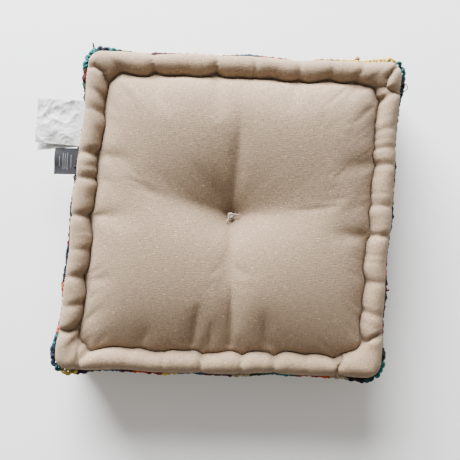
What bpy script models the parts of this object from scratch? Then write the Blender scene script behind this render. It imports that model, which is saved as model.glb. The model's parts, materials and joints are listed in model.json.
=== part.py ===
"""A tufted floor cushion with rolled mattress edges, lying on its woven face with its canvas back up.

Metres, +Z up. X runs across the cushion and Y along it. The labels leave the seam on the -X side. The
origin is the cushion's centre of mass, which is on the tuft cord about halfway between the two panels.

Nearly every piece is a loop that runs round the cushion: a closed section in the upright plane, given as
inset from the cushion's outer face and height, repeated on concentric rounded rectangles and bridged.
"""

import math

import bmesh
import bpy
from mathutils import Vector

# Overall sizes
WIDTH = 0.500               # across the canvas rolls, along X
DEPTH = 0.500               # across the canvas rolls, along Y
ROLL_HEIGHT = 0.100         # floor to the top of the canvas roll
ORIGIN_HEIGHT = 0.0522      # floor to the centre of mass
CORNER_RADIUS = 0.026       # of the rolls' outer face, seen from above
TIGHTEST_CORNER = 0.006     # of a loop that runs inside the rolls

# Cloth and clearances
CANVAS = 0.0012             # thickness of the back's cotton canvas
WEAVE = 0.0050              # thickness of the face's and bands' looped weave
WEAVE_PROUD = 0.0030        # the weave's loops stand this far out past the canvas
GAP = 0.0004                # between pieces that touch on the real cushion
SEAM_OPENING = 0.0014       # from the middle of a seam to each cloth's edge

# Rolled edges
ROLL_RADIUS = 0.017         # of the canvas roll
BACK_GROOVE_ANGLE = math.radians(190)  # where the back's roll stitch lies, round the roll's middle
BAND_GROOVE_ANGLE = math.radians(-75)  # where the band's roll stitch lies
SIDE_BULGE = 0.25           # the band's side swells out by this share of the height between its stitches

# Panels
CROWN = 0.012               # the back panel's top, above the canvas roll
BACK_PIT = 0.034            # depth of the tuft's pit below the crown
FACE_PIT = 0.020            # depth of the face's pit above the floor
KNOT_SEAT = 0.035           # share of the way to the roll stitch that lies flat under a knot
BACK_PIT_REACH = 0.15       # share of the way to the stitch in which the pit fades by two thirds
FACE_FLAT_FROM = 0.34       # share of the way to the stitch where the face starts to lie flat
FACE_FLAT_TO = 0.90         # and where it turns up to its groove
CROWN_SQUARENESS = 6        # how late the crown falls to the groove

# Tuft
CORD_RADIUS = 0.0016
CORD_CLEARANCE = 0.0010
KNOT_RADIUS = 0.0062
KNOT_HEIGHT = 0.0056

# Threads
STITCH_RADIUS = 0.0007
SEAM_THREAD_RADIUS = 0.0006
BACK_STITCH_RISE = 0.0055   # the back's roll stitch, above the bottom of its groove
FACE_STITCH_DROP = 0.0024   # the face's roll stitch, below the top of its groove
BAND_STITCH_TURN = math.radians(6)  # the bands' stitches, round their rolls from the bend

# Labels, sewn into the back's seam on the -X side
LABEL_THICKNESS = 0.0007
LEAF_GAP = 0.0008
LABEL_CLEARANCE = 0.0020    # from the weave's face to the labels' hinge lines
CARE_LABEL_WIDTH = 0.072    # along the seam
CARE_LABEL_LENGTH = 0.066   # out from the seam
CARE_LABEL_MIDDLE = 0.130   # its middle, from the cushion's middle
LOWER_LEAF_SHORTER = 0.004
BRAND_LABEL_WIDTH = 0.042
BRAND_LABEL_LENGTH = 0.033
BRAND_LABEL_MIDDLE = 0.070

# How finely round stretches are cut
CORNER_STEPS = 6
ROLL_STEPS = 7
SIDE_STEPS = 4              # even, so that one point is at the middle of the side
THREAD_SIDES = 5
KNOT_RINGS = 8
CORD_SIDES = 12

# Places worked out from the sizes above
FLOOR_Z = -ORIGIN_HEIGHT
ROLL_TOP_Z = FLOOR_Z + ROLL_HEIGHT
CROWN_Z = ROLL_TOP_Z + CROWN
WEAVE_ROLL_RADIUS = ROLL_RADIUS + WEAVE_PROUD
ROLL_FILL_RADIUS = min(ROLL_RADIUS - CANVAS, WEAVE_ROLL_RADIUS - WEAVE) - GAP
BACK_ROLL_Z = ROLL_TOP_Z - ROLL_RADIUS
FACE_ROLL_Z = FLOOR_Z + WEAVE_ROLL_RADIUS
CORD_HOLE = CORD_RADIUS + CORD_CLEARANCE
HOLE_INSET = WIDTH / 2 - CORD_HOLE
BACK_PIT_Z = CROWN_Z - BACK_PIT
FACE_PIT_Z = FLOOR_Z + FACE_PIT


# ---------------------------------------------------------------- materials and objects

def material(name, colour, roughness):
    made = bpy.data.materials.new(name)
    made.use_nodes = True
    shader = made.node_tree.nodes["Principled BSDF"]
    shader.inputs["Base Color"].default_value = (*colour, 1.0)
    shader.inputs["Roughness"].default_value = roughness
    shader.inputs["Metallic"].default_value = 0.0
    return made


def add_object(name, bm, finish, parent):
    """Closes the bmesh into a named object with its faces pointing out."""
    bmesh.ops.recalc_face_normals(bm, faces=bm.faces)
    mesh = bpy.data.meshes.new(name)
    bm.to_mesh(mesh)
    bm.free()
    mesh.shade_smooth()
    mesh.set_sharp_from_angle(angle=math.radians(40))
    mesh.materials.append(finish)
    made = bpy.data.objects.new(name, mesh)
    bpy.context.scene.collection.objects.link(made)
    made.parent = parent
    return made


def add_empty(name, place):
    made = bpy.data.objects.new(name, None)
    made.location = place
    bpy.context.scene.collection.objects.link(made)
    return made


# ---------------------------------------------------------------- loops round the cushion

def loop_sizes(inset):
    """Half width, half depth and corner radius of the loop at this inset from the outer face.

    Between the roll stitch and the tuft the loops shrink evenly in both directions and grow rounder."""
    if inset <= GROOVE_INSET:
        radius = max(CORNER_RADIUS - inset, TIGHTEST_CORNER)
        return WIDTH / 2 - inset, DEPTH / 2 - inset, radius
    share = (HOLE_INSET - inset) / (HOLE_INSET - GROOVE_INSET)
    half_width = WIDTH / 2 - inset
    half_depth = CORD_HOLE + share * (DEPTH / 2 - GROOVE_INSET - CORD_HOLE)
    roundest = 0.7 * min(half_width, half_depth)
    return half_width, half_depth, roundest + share * (TIGHTEST_CORNER - roundest)


def corner_point(sizes, corner, angle):
    """A point on one corner's arc. Corner 0 is at +X +Y, and they run anticlockwise."""
    half_width, half_depth, radius = sizes
    turn = math.radians(90 * corner) + angle
    side_x = 1 if corner in (0, 3) else -1
    side_y = 1 if corner in (0, 1) else -1
    x = side_x * (half_width - radius) + radius * math.cos(turn)
    y = side_y * (half_depth - radius) + radius * math.sin(turn)
    return Vector((x, y, 0))


def whole_loop(inset, z):
    """The closed loop at this inset and height."""
    sizes = loop_sizes(inset)
    step = math.radians(90) / CORNER_STEPS
    points = [corner_point(sizes, corner, i * step) for corner in range(4) for i in range(CORNER_STEPS + 1)]
    return [point + Vector((0, 0, z)) for point in points]


def side_of_loop(inset, z, side):
    """The loop's points from just past the middle of one corner to just short of the middle of the next."""
    sizes = loop_sizes(inset)
    sweep = math.radians(45) - math.asin(GAP / sizes[2])
    steps = CORNER_STEPS // 2
    first = [corner_point(sizes, side, math.radians(90) - sweep * (1 - i / steps)) for i in range(steps + 1)]
    last = [corner_point(sizes, (side + 1) % 4, sweep * i / steps) for i in range(steps + 1)]
    return [point + Vector((0, 0, z)) for point in first + last]


def add_closed_edges(bm, points):
    verts = [bm.verts.new(point) for point in points]
    return [bm.edges.new((verts[i - 1], verts[i])) for i in range(len(verts))]


def swept(name, lines, all_round, finish, parent):
    """Joins lines that run side by side round the cushion, one for each point of a closed section."""
    bm = bmesh.new()
    stations = [add_closed_edges(bm, station) for station in zip(*lines)]
    for before, after in zip(stations, stations[1:]):
        bmesh.ops.bridge_loops(bm, edges=before + after)
    if all_round:
        bmesh.ops.bridge_loops(bm, edges=stations[-1] + stations[0])
    else:
        bmesh.ops.holes_fill(bm, edges=stations[0] + stations[-1], sides=len(lines))
    return add_object(name, bm, finish, parent)


def swept_all_round(name, section, finish, parent):
    """A closed section of (inset, z) points carried all the way round the cushion."""
    return swept(name, [whole_loop(inset, z) for inset, z in section], True, finish, parent)


def swept_along_side(name, section, side, finish, parent):
    """The same section carried along one side only, with both its ends closed."""
    return swept(name, [side_of_loop(inset, z, side) for inset, z in section], False, finish, parent)


# ---------------------------------------------------------------- sections, as (inset, z) points

def roll_point(roll_z, radius, angle):
    """A point round a roll's middle. Angle 0 faces out, a right angle faces up and 180 degrees in."""
    return ROLL_RADIUS - radius * math.cos(angle), roll_z + radius * math.sin(angle)


def roll_arc(roll_z, radius, start, end, steps=ROLL_STEPS):
    return [roll_point(roll_z, radius, start + (end - start) * i / steps) for i in range(steps + 1)]


GROOVE_INSET = roll_point(0, ROLL_RADIUS, BACK_GROOVE_ANGLE)[0]
FACE_GROOVE_ANGLE = math.acos((ROLL_RADIUS - GROOVE_INSET) / WEAVE_ROLL_RADIUS)


def offset(path, distance):
    """The path moved by distance to its inner side, with its corners kept parallel."""
    moved = []
    for i, (inset, z) in enumerate(path):
        here = Vector((inset, z))
        before = (here - Vector(path[i - 1])).normalized() if i else None
        after = (Vector(path[i + 1]) - here).normalized() if i + 1 < len(path) else None
        before, after = before or after, after or before
        across_before, across_after = Vector((-before.y, before.x)), Vector((-after.y, after.x))
        middle = (across_before + across_after).normalized()
        moved.append(tuple(here + middle * distance / middle.dot(across_after)))
    return moved


def cloth(path, thickness):
    """The closed section of a cloth whose outer side follows path."""
    return path + offset(path, thickness)[::-1]


def panel_inset(share):
    """Inset of a place on a panel: share 0 is the tuft's hole and share 1 the roll stitch."""
    return HOLE_INSET + share * (GROOVE_INSET - HOLE_INSET)


def back_panel_path():
    """The canvas from the tuft's hole, over the crown, down to the stitch's groove."""
    groove_z = roll_point(BACK_ROLL_Z, ROLL_RADIUS, BACK_GROOVE_ANGLE)[1]
    path = []
    for share in (0, KNOT_SEAT, 0.07, 0.12, 0.19, 0.30, 0.46, 0.64, 0.80, 0.90, 0.96, 1):
        dome = math.sqrt(1 - share ** CROWN_SQUARENESS)
        pit = BACK_PIT * math.exp(-max(share - KNOT_SEAT, 0) / BACK_PIT_REACH) * dome
        path.append((panel_inset(share), groove_z + (CROWN_Z - groove_z) * dome - pit))
    return path


def face_panel_path():
    """The weave from the roll stitch's groove, down on to the floor and up into the tuft's pit."""
    groove_z = roll_point(FACE_ROLL_Z, WEAVE_ROLL_RADIUS, -FACE_GROOVE_ANGLE)[1]
    turn_up = (1, 0.985, 0.96, 0.93, FACE_FLAT_TO)
    path = []
    for share in turn_up:
        left = (1 - share) / (1 - FACE_FLAT_TO)
        path.append((panel_inset(share), groove_z + (FLOOR_Z - groove_z) * math.sin(left * math.pi / 2)))
    for share in (0.62, FACE_FLAT_FROM, 0.24, 0.16, 0.09, KNOT_SEAT, 0):
        left = (FACE_FLAT_FROM - max(share, KNOT_SEAT)) / (FACE_FLAT_FROM - KNOT_SEAT)
        path.append((panel_inset(share), FLOOR_Z + FACE_PIT * max(left, 0) ** 2))
    return path


def band_side_path():
    """The band's side, from its upper stitch's groove to its lower one."""
    top_inset, top_z = roll_point(BACK_ROLL_Z, WEAVE_ROLL_RADIUS, BAND_GROOVE_ANGLE)
    low_z = roll_point(FACE_ROLL_Z, WEAVE_ROLL_RADIUS, -BAND_GROOVE_ANGLE)[1]
    bulge = SIDE_BULGE * (top_z - low_z)
    return [
        (top_inset - bulge * math.sin(math.pi * i / SIDE_STEPS), top_z + (low_z - top_z) * i / SIDE_STEPS)
        for i in range(SIDE_STEPS + 1)
    ]


def seam_angle(radius):
    return math.asin(SEAM_OPENING / radius)


def band_path():
    start = -seam_angle(WEAVE_ROLL_RADIUS)
    upper = roll_arc(BACK_ROLL_Z, WEAVE_ROLL_RADIUS, start, BAND_GROOVE_ANGLE)
    lower = roll_arc(FACE_ROLL_Z, WEAVE_ROLL_RADIUS, -BAND_GROOVE_ANGLE, -start)
    return upper[:-1] + band_side_path() + lower[1:]


def back_path():
    end = seam_angle(ROLL_RADIUS)
    return back_panel_path()[:-1] + roll_arc(BACK_ROLL_Z, ROLL_RADIUS, BACK_GROOVE_ANGLE, end)


def face_path():
    start = -seam_angle(WEAVE_ROLL_RADIUS)
    roll = roll_arc(FACE_ROLL_Z, WEAVE_ROLL_RADIUS, start, -FACE_GROOVE_ANGLE)
    return roll[:-1] + face_panel_path()


def core_section():
    """The filling inside both panels and the bands, hollowed where the two rolls take its corners."""
    beside_roll = WEAVE_ROLL_RADIUS + 2 * GAP
    top = offset(back_panel_path(), CANVAS + GAP)[:-1]
    middle_of_side = offset(band_side_path(), WEAVE + GAP)[SIDE_STEPS // 2]
    bottom = offset(face_panel_path(), WEAVE + GAP)[1:]
    inward = math.radians(205)
    downward = math.radians(255)
    under_back_roll = roll_arc(BACK_ROLL_Z, beside_roll, inward, downward, steps=3)
    over_face_roll = roll_arc(FACE_ROLL_Z, beside_roll, -downward, -inward, steps=3)
    return top + under_back_roll + [middle_of_side] + over_face_roll + bottom


def thread_section(inset, z, radius):
    turn = 2 * math.pi / THREAD_SIDES
    return [(inset + radius * math.cos(i * turn), z + radius * math.sin(i * turn)) for i in range(THREAD_SIDES)]


def roll_filling_section(roll_z):
    return roll_arc(roll_z, ROLL_FILL_RADIUS, 0, -2 * math.pi, steps=10)[:-1]


# ---------------------------------------------------------------- pieces

def add_covers(finishes, cushion):
    swept_all_round("back_panel", cloth(back_path(), CANVAS), finishes["canvas"], cushion)
    swept_all_round("face_panel", cloth(face_path(), WEAVE), finishes["weave"], cushion)
    section = cloth(band_path(), WEAVE)
    for side, name in enumerate(("band_rear", "band_left", "band_front", "band_right")):
        swept_along_side(name, section, side, finishes["weave"], cushion)


def add_filling(finishes, cushion):
    swept_all_round("filling_core", core_section(), finishes["filling"], cushion)
    swept_all_round("back_roll_filling", roll_filling_section(BACK_ROLL_Z), finishes["filling"], cushion)
    swept_all_round("face_roll_filling", roll_filling_section(FACE_ROLL_Z), finishes["filling"], cushion)


def add_threads(finishes, cushion):
    """The four rings of mattress stitches that pinch the rolls, and the two seams at the rolls' equators."""
    groove_inset, groove_z = roll_point(BACK_ROLL_Z, ROLL_RADIUS, BACK_GROOVE_ANGLE)
    face_inset, face_z = roll_point(FACE_ROLL_Z, WEAVE_ROLL_RADIUS, -FACE_GROOVE_ANGLE)
    beside = STITCH_RADIUS + 2 * GAP
    clear_of_roll = WEAVE_ROLL_RADIUS + beside
    bend = BAND_GROOVE_ANGLE + BAND_STITCH_TURN
    stitches = {
        "back_roll_stitch": (groove_inset + beside, groove_z + BACK_STITCH_RISE),
        "band_upper_stitch": roll_point(BACK_ROLL_Z, clear_of_roll, bend),
        "band_lower_stitch": roll_point(FACE_ROLL_Z, clear_of_roll, -bend),
        "face_roll_stitch": (face_inset, face_z - FACE_STITCH_DROP),
    }
    for name, (inset, z) in stitches.items():
        swept_all_round(name, thread_section(inset, z, STITCH_RADIUS), finishes["twine"], cushion)
    for name, roll_z in (("back_seam_thread", BACK_ROLL_Z), ("face_seam_thread", FACE_ROLL_Z)):
        section = thread_section(*roll_point(roll_z, ROLL_RADIUS, 0), SEAM_THREAD_RADIUS)
        swept_all_round(name, section, finishes["thread"], cushion)


def add_tuft(finishes, cushion):
    """A cord through the cushion's middle, with a knot in the pit at each end."""
    top, bottom = BACK_PIT_Z + GAP, FACE_PIT_Z - GAP
    bm = bmesh.new()
    bmesh.ops.create_cone(bm, cap_ends=True, segments=CORD_SIDES, radius1=CORD_RADIUS, radius2=CORD_RADIUS,
                          depth=top - bottom - 2 * GAP)
    cord = add_object("tuft_cord", bm, finishes["twine"], cushion)
    cord.location.z = (top + bottom) / 2
    for name, z in (("back_tuft_knot", top + KNOT_HEIGHT / 2), ("face_tuft_knot", bottom - KNOT_HEIGHT / 2)):
        bm = bmesh.new()
        bmesh.ops.create_uvsphere(bm, u_segments=CORD_SIDES, v_segments=KNOT_RINGS, radius=1)
        bmesh.ops.scale(bm, verts=bm.verts, vec=(KNOT_RADIUS, KNOT_RADIUS, KNOT_HEIGHT / 2))
        knot = add_object(name, bm, finishes["twine"], cushion)
        knot.location.z = z


def add_label(name, hinge, length, width, rise, finish):
    """A flat label that runs from its hinge line out along -X."""
    bm = bmesh.new()
    bmesh.ops.create_cube(bm, size=1)
    bmesh.ops.scale(bm, verts=bm.verts, vec=(length, width, LABEL_THICKNESS))
    bmesh.ops.translate(bm, verts=bm.verts, vec=(-length / 2, 0, rise))
    add_object(name, bm, finish, hinge)


def add_labels(finishes, cushion):
    hinge_x = -(WIDTH / 2 + WEAVE_PROUD + LABEL_CLEARANCE)
    care = add_empty("care_label_hinge", (hinge_x, CARE_LABEL_MIDDLE, BACK_ROLL_Z))
    brand = add_empty("brand_label_hinge", (hinge_x, BRAND_LABEL_MIDDLE, BACK_ROLL_Z))
    care.parent = brand.parent = cushion
    leaf_rise = (LEAF_GAP + LABEL_THICKNESS) / 2
    add_label("care_label_upper_leaf", care, CARE_LABEL_LENGTH, CARE_LABEL_WIDTH, leaf_rise, finishes["paper"])
    add_label("care_label_lower_leaf", care, CARE_LABEL_LENGTH - LOWER_LEAF_SHORTER, CARE_LABEL_WIDTH,
              -leaf_rise, finishes["paper"])
    add_label("brand_label", brand, BRAND_LABEL_LENGTH, BRAND_LABEL_WIDTH, 0, finishes["ribbon"])


def main():
    for old in list(bpy.data.objects):
        bpy.data.objects.remove(old)
    finishes = {
        "canvas": material("taupe_canvas", (0.49, 0.40, 0.32), 0.9),
        "weave": material("looped_wool_weave", (0.10, 0.33, 0.33), 0.95),
        "filling": material("cotton_filling", (0.80, 0.77, 0.70), 1.0),
        "twine": material("cotton_twine", (0.60, 0.52, 0.42), 0.85),
        "thread": material("seam_thread", (0.80, 0.78, 0.72), 0.8),
        "paper": material("white_spunbond", (0.82, 0.82, 0.81), 0.55),
        "ribbon": material("black_ribbon", (0.03, 0.03, 0.035), 0.5),
    }
    cushion = add_empty("cushion", (0, 0, 0))
    add_covers(finishes, cushion)
    add_filling(finishes, cushion)
    add_threads(finishes, cushion)
    add_tuft(finishes, cushion)
    add_labels(finishes, cushion)


main()
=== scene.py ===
"""Dresses a floor cushion: gathered canvas back, looped yarn face and bands, stitching, tuft and labels."""

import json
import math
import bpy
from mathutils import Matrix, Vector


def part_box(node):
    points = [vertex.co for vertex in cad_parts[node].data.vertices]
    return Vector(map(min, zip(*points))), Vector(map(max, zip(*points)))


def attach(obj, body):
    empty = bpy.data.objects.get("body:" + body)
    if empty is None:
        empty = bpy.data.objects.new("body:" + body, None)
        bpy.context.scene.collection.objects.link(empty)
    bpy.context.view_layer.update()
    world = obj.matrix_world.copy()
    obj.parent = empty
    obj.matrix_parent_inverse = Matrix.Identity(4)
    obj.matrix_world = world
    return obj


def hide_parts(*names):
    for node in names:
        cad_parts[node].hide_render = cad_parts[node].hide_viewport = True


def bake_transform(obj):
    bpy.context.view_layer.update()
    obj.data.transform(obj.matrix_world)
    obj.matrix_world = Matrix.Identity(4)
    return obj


bl_info = {
    "name": "Tufted Floor Cushion",
    "version": (1, 0, 0),
    "blender": (4, 5, 0),
    "location": "View3D > Sidebar > Cushion",
    "description": "Makes a floor cushion with gathered rolled edges, a looped yarn face and one tuft",
    "category": "Add Mesh",
}

import bmesh
import bpy
import numpy as np
from bpy.props import FloatProperty, FloatVectorProperty, IntProperty, PointerProperty
from mathutils import Matrix, Vector, noise

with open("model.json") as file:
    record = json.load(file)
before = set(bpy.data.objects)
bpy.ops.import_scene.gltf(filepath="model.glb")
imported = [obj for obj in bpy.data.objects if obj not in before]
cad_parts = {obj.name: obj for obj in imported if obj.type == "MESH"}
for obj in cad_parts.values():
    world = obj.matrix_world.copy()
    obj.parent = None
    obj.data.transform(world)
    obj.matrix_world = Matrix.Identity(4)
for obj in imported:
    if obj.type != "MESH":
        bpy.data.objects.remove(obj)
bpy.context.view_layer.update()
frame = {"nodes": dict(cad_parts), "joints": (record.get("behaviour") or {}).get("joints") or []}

# Places that the frame gives
BODY = "cushion"
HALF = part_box("back_panel")[1][0]
FLOOR_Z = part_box("face_panel")[0][2]
BACK_ROLL_Z = sum(corner[2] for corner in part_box("back_seam_thread")) / 2
FACE_ROLL_Z = sum(corner[2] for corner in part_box("face_seam_thread")) / 2
BACK_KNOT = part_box("back_tuft_knot")
FACE_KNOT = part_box("face_tuft_knot")
HINGES = {joint["child"]: Vector(joint["pos_m"]) for joint in frame["joints"]}

# The rolled edge's section
ROLL_RADIUS = 0.017
GROUND_RADIUS = 0.0150       # of the woven ground that the loops stand on
GROOVE_ANGLE = math.radians(192)
GROOVE_INSET = ROLL_RADIUS * (1 - math.cos(GROOVE_ANGLE))
GROOVE_Z = BACK_ROLL_Z + ROLL_RADIUS * math.sin(GROOVE_ANGLE)
ROLL_TOP_Z = BACK_ROLL_Z + ROLL_RADIUS
PANEL_EDGE_Z = ROLL_TOP_Z - 0.009  # where the panel comes up out of the groove
CORNER_RADIUS = 0.021
TIGHTEST_CORNER = 0.006
PANEL_CORNER = 0.027         # corner radius of the roll stitch, where the panel begins
OPENING_INSET = 0.016        # from here to the roll stitch the corners open out to PANEL_CORNER
TUFT_ROUNDING = 0.75         # corner radius of a ring near the tuft, as a share of its half width
GROOVE_REACH = HALF - GROOVE_INSET - PANEL_CORNER * (1 - math.pi / 4)  # a side's middle to its corner
CREASE_REACH = 0.015         # how far either side of a stitch the roll is drawn in
CORNER_CREASE_REACH = 0.0105  # how far either side of a corner crease the roll is drawn in
CORNER_OVERLAP_FADE = 0.006  # how soon the side that lies over comes back down
GATHER_PITCH = 0.013         # from one small gather to the next
GATHER_REACH = 0.0035        # how far either side of its middle a small gather shows
GROOVE_SHARE = 0.85          # how far the groove moves in at a stitch, as a share of the bite there
# The soft cushion lies a little askew: how far each corner has moved in X and Y
CORNER_LEAN = {"right_rear": (0.0059, 0.0074), "left_rear": (0.0098, -0.0031),
               "left_front": (-0.0136, -0.0119), "right_front": (0.0008, 0.0087)}
BAND_BEND = math.radians(-75)
FACE_GROOVE_ANGLE = math.radians(-140)
FACE_LIFT = 0.0056           # of the face's ground above the floor, which its loops fill
FACE_PIT = 0.018             # depth of the face's pit round its knot
SIDES = ("right", "rear", "left", "front")
ALONG_SIGN = {"right": 1, "rear": -1, "left": -1, "front": 1}  # of a place along a side, in X or Y

# Stitches that bite deepest: place along the side in metres from its middle, and how deep from 0 to 1
DEEP_STITCHES = {
    "rear": ((-0.209, 0.5), (-0.145, 1.1), (-0.045, 1.0), (0.017, 0.4), (0.086, 0.6), (0.135, 0.3),
             (0.184, 0.5)),
    "left": ((0.186, 0.35), (0.156, 0.5), (0.089, 1.0), (0.051, 1.0), (-0.008, 1.1), (-0.060, 0.3),
             (-0.104, 0.8), (-0.148, 0.5), (-0.187, 1.0)),
    "front": ((-0.208, 0.7), (-0.140, 0.25), (-0.085, 0.35), (-0.026, 1.0), (0.036, 1.0), (0.086, 1.1),
              (0.135, 0.35), (0.186, 1.0)),
    "right": ((0.200, 1.0), (0.144, 0.3), (0.112, 0.35), (0.087, 0.55), (0.023, 0.5), (-0.025, 0.9),
              (-0.098, 0.4), (-0.150, 0.4)),
}
# Creases across the roll at its corners: the line of each in plan, its depth, and how far its left side
# lies over
CORNER_CREASES = (
    (((-0.256, 0.226), (-0.236, 0.223), (-0.219, 0.212), (-0.213, 0.200)), 0.0090, 0.0016),
    (((0.244, 0.246), (0.232, 0.233), (0.222, 0.219), (0.219, 0.203), (0.254, 0.200)), 0.0085, -0.0012),
    (((0.219, 0.205), (0.205, 0.208)), 0.0055, 0.0),
    (((-0.256, -0.189), (-0.228, -0.187), (-0.210, -0.176)), 0.0085, 0.0012),
    (((0.184, -0.256), (0.187, -0.210), (0.210, -0.195), (0.234, -0.184), (0.256, -0.177)), 0.0090, -0.0014),
    (((-0.212, -0.256), (-0.2125, -0.232), (-0.211, -0.210)), 0.0040, 0.0),
)
# Folds across the panel: start, end, how far the cloth drops (or rises, if negative) and half width
PANEL_FOLDS = (
    ((-0.010, 0.003), (-0.120, 0.034), 0.0035, 0.009),
    ((0.010, -0.002), (0.090, 0.010), 0.0025, 0.009),
    ((0.000, 0.010), (0.003, 0.160), 0.0050, 0.007),
    ((0.002, -0.010), (0.016, -0.190), 0.0045, 0.008),
    ((-0.004, 0.004), (-0.044, 0.060), 0.0085, 0.019),
    ((-0.043, -0.216), (-0.036, -0.118), 0.0085, 0.009),
    ((-0.016, -0.216), (-0.013, -0.150), 0.0045, 0.006),
    ((0.016, -0.216), (0.010, -0.100), 0.0095, 0.010),
    ((0.072, -0.216), (0.060, -0.138), 0.0070, 0.009),
    ((-0.120, -0.216), (-0.108, -0.168), 0.0035, 0.009),
    ((-0.188, 0.200), (-0.160, 0.176), -0.0035, 0.006),
    ((-0.216, 0.090), (-0.155, 0.075), 0.0035, 0.009),
    ((-0.216, -0.010), (-0.140, -0.004), 0.0045, 0.012),
    ((-0.216, -0.110), (-0.165, -0.100), 0.0035, 0.010),
    ((0.216, -0.028), (0.140, -0.022), 0.0045, 0.012),
    ((0.216, 0.090), (0.160, 0.080), 0.0035, 0.010),
    ((-0.143, 0.216), (-0.122, 0.160), 0.0040, 0.009),
    ((-0.045, 0.216), (-0.030, 0.150), 0.0045, 0.010),
    ((0.086, 0.216), (0.076, 0.165), 0.0030, 0.010),
    ((0.184, 0.216), (0.155, 0.175), 0.0040, 0.009),
)
VALLEY_RISE_LEFT = 0.24      # the valley through the tuft climbs this much in Y for each metre to its left
VALLEY_RISE_RIGHT = 0.018    # and this many metres in all to its right
# The panel's four pillows. Heights are shares of the puff, and reaches are shares of the panel's half width
VALLEY_HEIGHT = 0.36         # of the valley where it crosses the tuft
VALLEY_CLIMB = 0.34          # how much higher it is where it meets the sides
FRONT_HEIGHT = 0.84          # of the front pillows
REAR_CREST = 0.82            # from the valley to the rear pillows' highest line
FRONT_CREST = 0.36           # from the valley to the front pillows' highest line
FRONT_SLOPE = 0.72           # how far the front pillows fall between their crest and the roll stitch
CROSS_VALLEY_REACH = 0.45    # how far either side of the tuft the valley from front to rear shows
CROSS_VALLEY_DEPTH = 0.0095  # its depth in metres


# ---------------------------------------------------------------- what a user would change

class CushionSizes(bpy.types.PropertyGroup):
    """The sizes that give the cushion its look"""
    ring_rows: IntProperty(name="Panel rows", default=54, min=20,
                           description="Rows of cloth cells from the tuft to the roll stitch")
    roll_rows: IntProperty(name="Roll rows", default=22, min=8,
                           description="Rows of cloth cells across the canvas roll")
    bite: FloatProperty(name="Stitch bite", description="How far the deepest stitches pull the roll in",
                        default=0.0105, unit="LENGTH")
    puff: FloatProperty(name="Puff", description="How far the panel's pillows swell above its edge",
                        default=0.0325, unit="LENGTH")
    pressure: FloatProperty(name="Filling pressure", description="Pressure of the filling on the canvas",
                            default=3.5, min=0)
    loop_length: FloatProperty(name="Loop length", description="Length of one yarn loop along its row",
                               default=0.0068, unit="LENGTH")
    row_pitch: FloatProperty(name="Row pitch", description="From one row of loops to the next",
                             default=0.0051, unit="LENGTH")
    yarn_radius: FloatProperty(name="Yarn radius", description="Half the thickness of the looped yarn",
                               default=0.0023, unit="LENGTH")


class CushionColours(bpy.types.PropertyGroup):
    """The colours of the cloths and threads"""
    canvas: FloatVectorProperty(name="Canvas", description="Colour of the back's canvas", subtype="COLOR",
                                default=(0.244, 0.169, 0.106), min=0, max=1)
    twine: FloatVectorProperty(name="Twine", description="Colour of the tufting twine", subtype="COLOR",
                               default=(0.62, 0.54, 0.44), min=0, max=1)
    seam_thread: FloatVectorProperty(name="Seam thread", description="Colour of the overlocking thread",
                                     subtype="COLOR", default=(0.75, 0.73, 0.68), min=0, max=1)
    wadding: FloatVectorProperty(name="Wadding", description="Colour of the filling", subtype="COLOR",
                                 default=(0.78, 0.75, 0.68), min=0, max=1)


# ---------------------------------------------------------------- shapes shared by the pieces

def smooth_step(low, high, value):
    """0 below low and 1 above high, with a soft rise between them."""
    share = np.clip((value - low) / (high - low), 0, 1)
    return share * share * (3 - 2 * share)


def cloth_rows(sizes):
    """Rows of cloth cells from the tuft to the seam."""
    return sizes.ring_rows + sizes.roll_rows


def waves(place, *parts):
    """A sum of waves along a place, each (height, radians to the metre, phase)."""
    return sum(height * np.sin(rate * place + phase) for height, rate, phase in parts)


def corner_radius(inset):
    """Corner radius of the ring at this inset: tight on the roll, wider at the roll stitch and the tuft."""
    share = np.clip((HALF - inset) / (HALF - GROOVE_INSET), 0, 1)
    opening = smooth_step(OPENING_INSET, GROOVE_INSET, inset) * (PANEL_CORNER - TIGHTEST_CORNER)
    on_roll = np.maximum(CORNER_RADIUS - inset, TIGHTEST_CORNER + opening)
    on_panel = TUFT_ROUNDING * (HALF - inset) * (1 - share) + PANEL_CORNER * share
    return np.where(inset <= GROOVE_INSET, on_roll, on_panel)


def run_along(t, reach):
    """Distance along a ring. Lines of equal t cross the roll squarely and fan out near its corners."""
    fanned = t * GROOVE_REACH + (reach - GROOVE_REACH) * np.sign(t) * t ** 4
    return np.where(reach > GROOVE_REACH, fanned, t * reach)


def place_to_t(place):
    """The t of a place measured in metres along the middle of the roll."""
    t = np.linspace(-1, 1, 401)
    middle = HALF - ROLL_RADIUS - TIGHTEST_CORNER * (1 - math.pi / 4)
    return float(np.interp(place, run_along(t, middle), t))


def ring_point(side, t, inset):
    """X, Y, outward X and Y, and distance along its side of a place on a ring.

    t runs from -1 to 1 between the side's two corners.
    """
    half = HALF - inset
    radius = np.minimum(corner_radius(inset), half)
    straight = half - radius
    run = run_along(t, straight + radius * math.pi / 4)
    past = np.maximum(np.abs(run) - straight, 0) / np.maximum(radius, 1e-6)
    along = np.sign(run) * (np.minimum(np.abs(run), straight) + radius * np.sin(past))
    out = straight + radius * np.cos(past)
    angle = side * math.pi / 2
    cosine, sine = np.cos(angle), np.sin(angle)
    facing = angle + np.sign(run) * past
    return out * cosine - along * sine, out * sine + along * cosine, np.cos(facing), np.sin(facing), along


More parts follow.
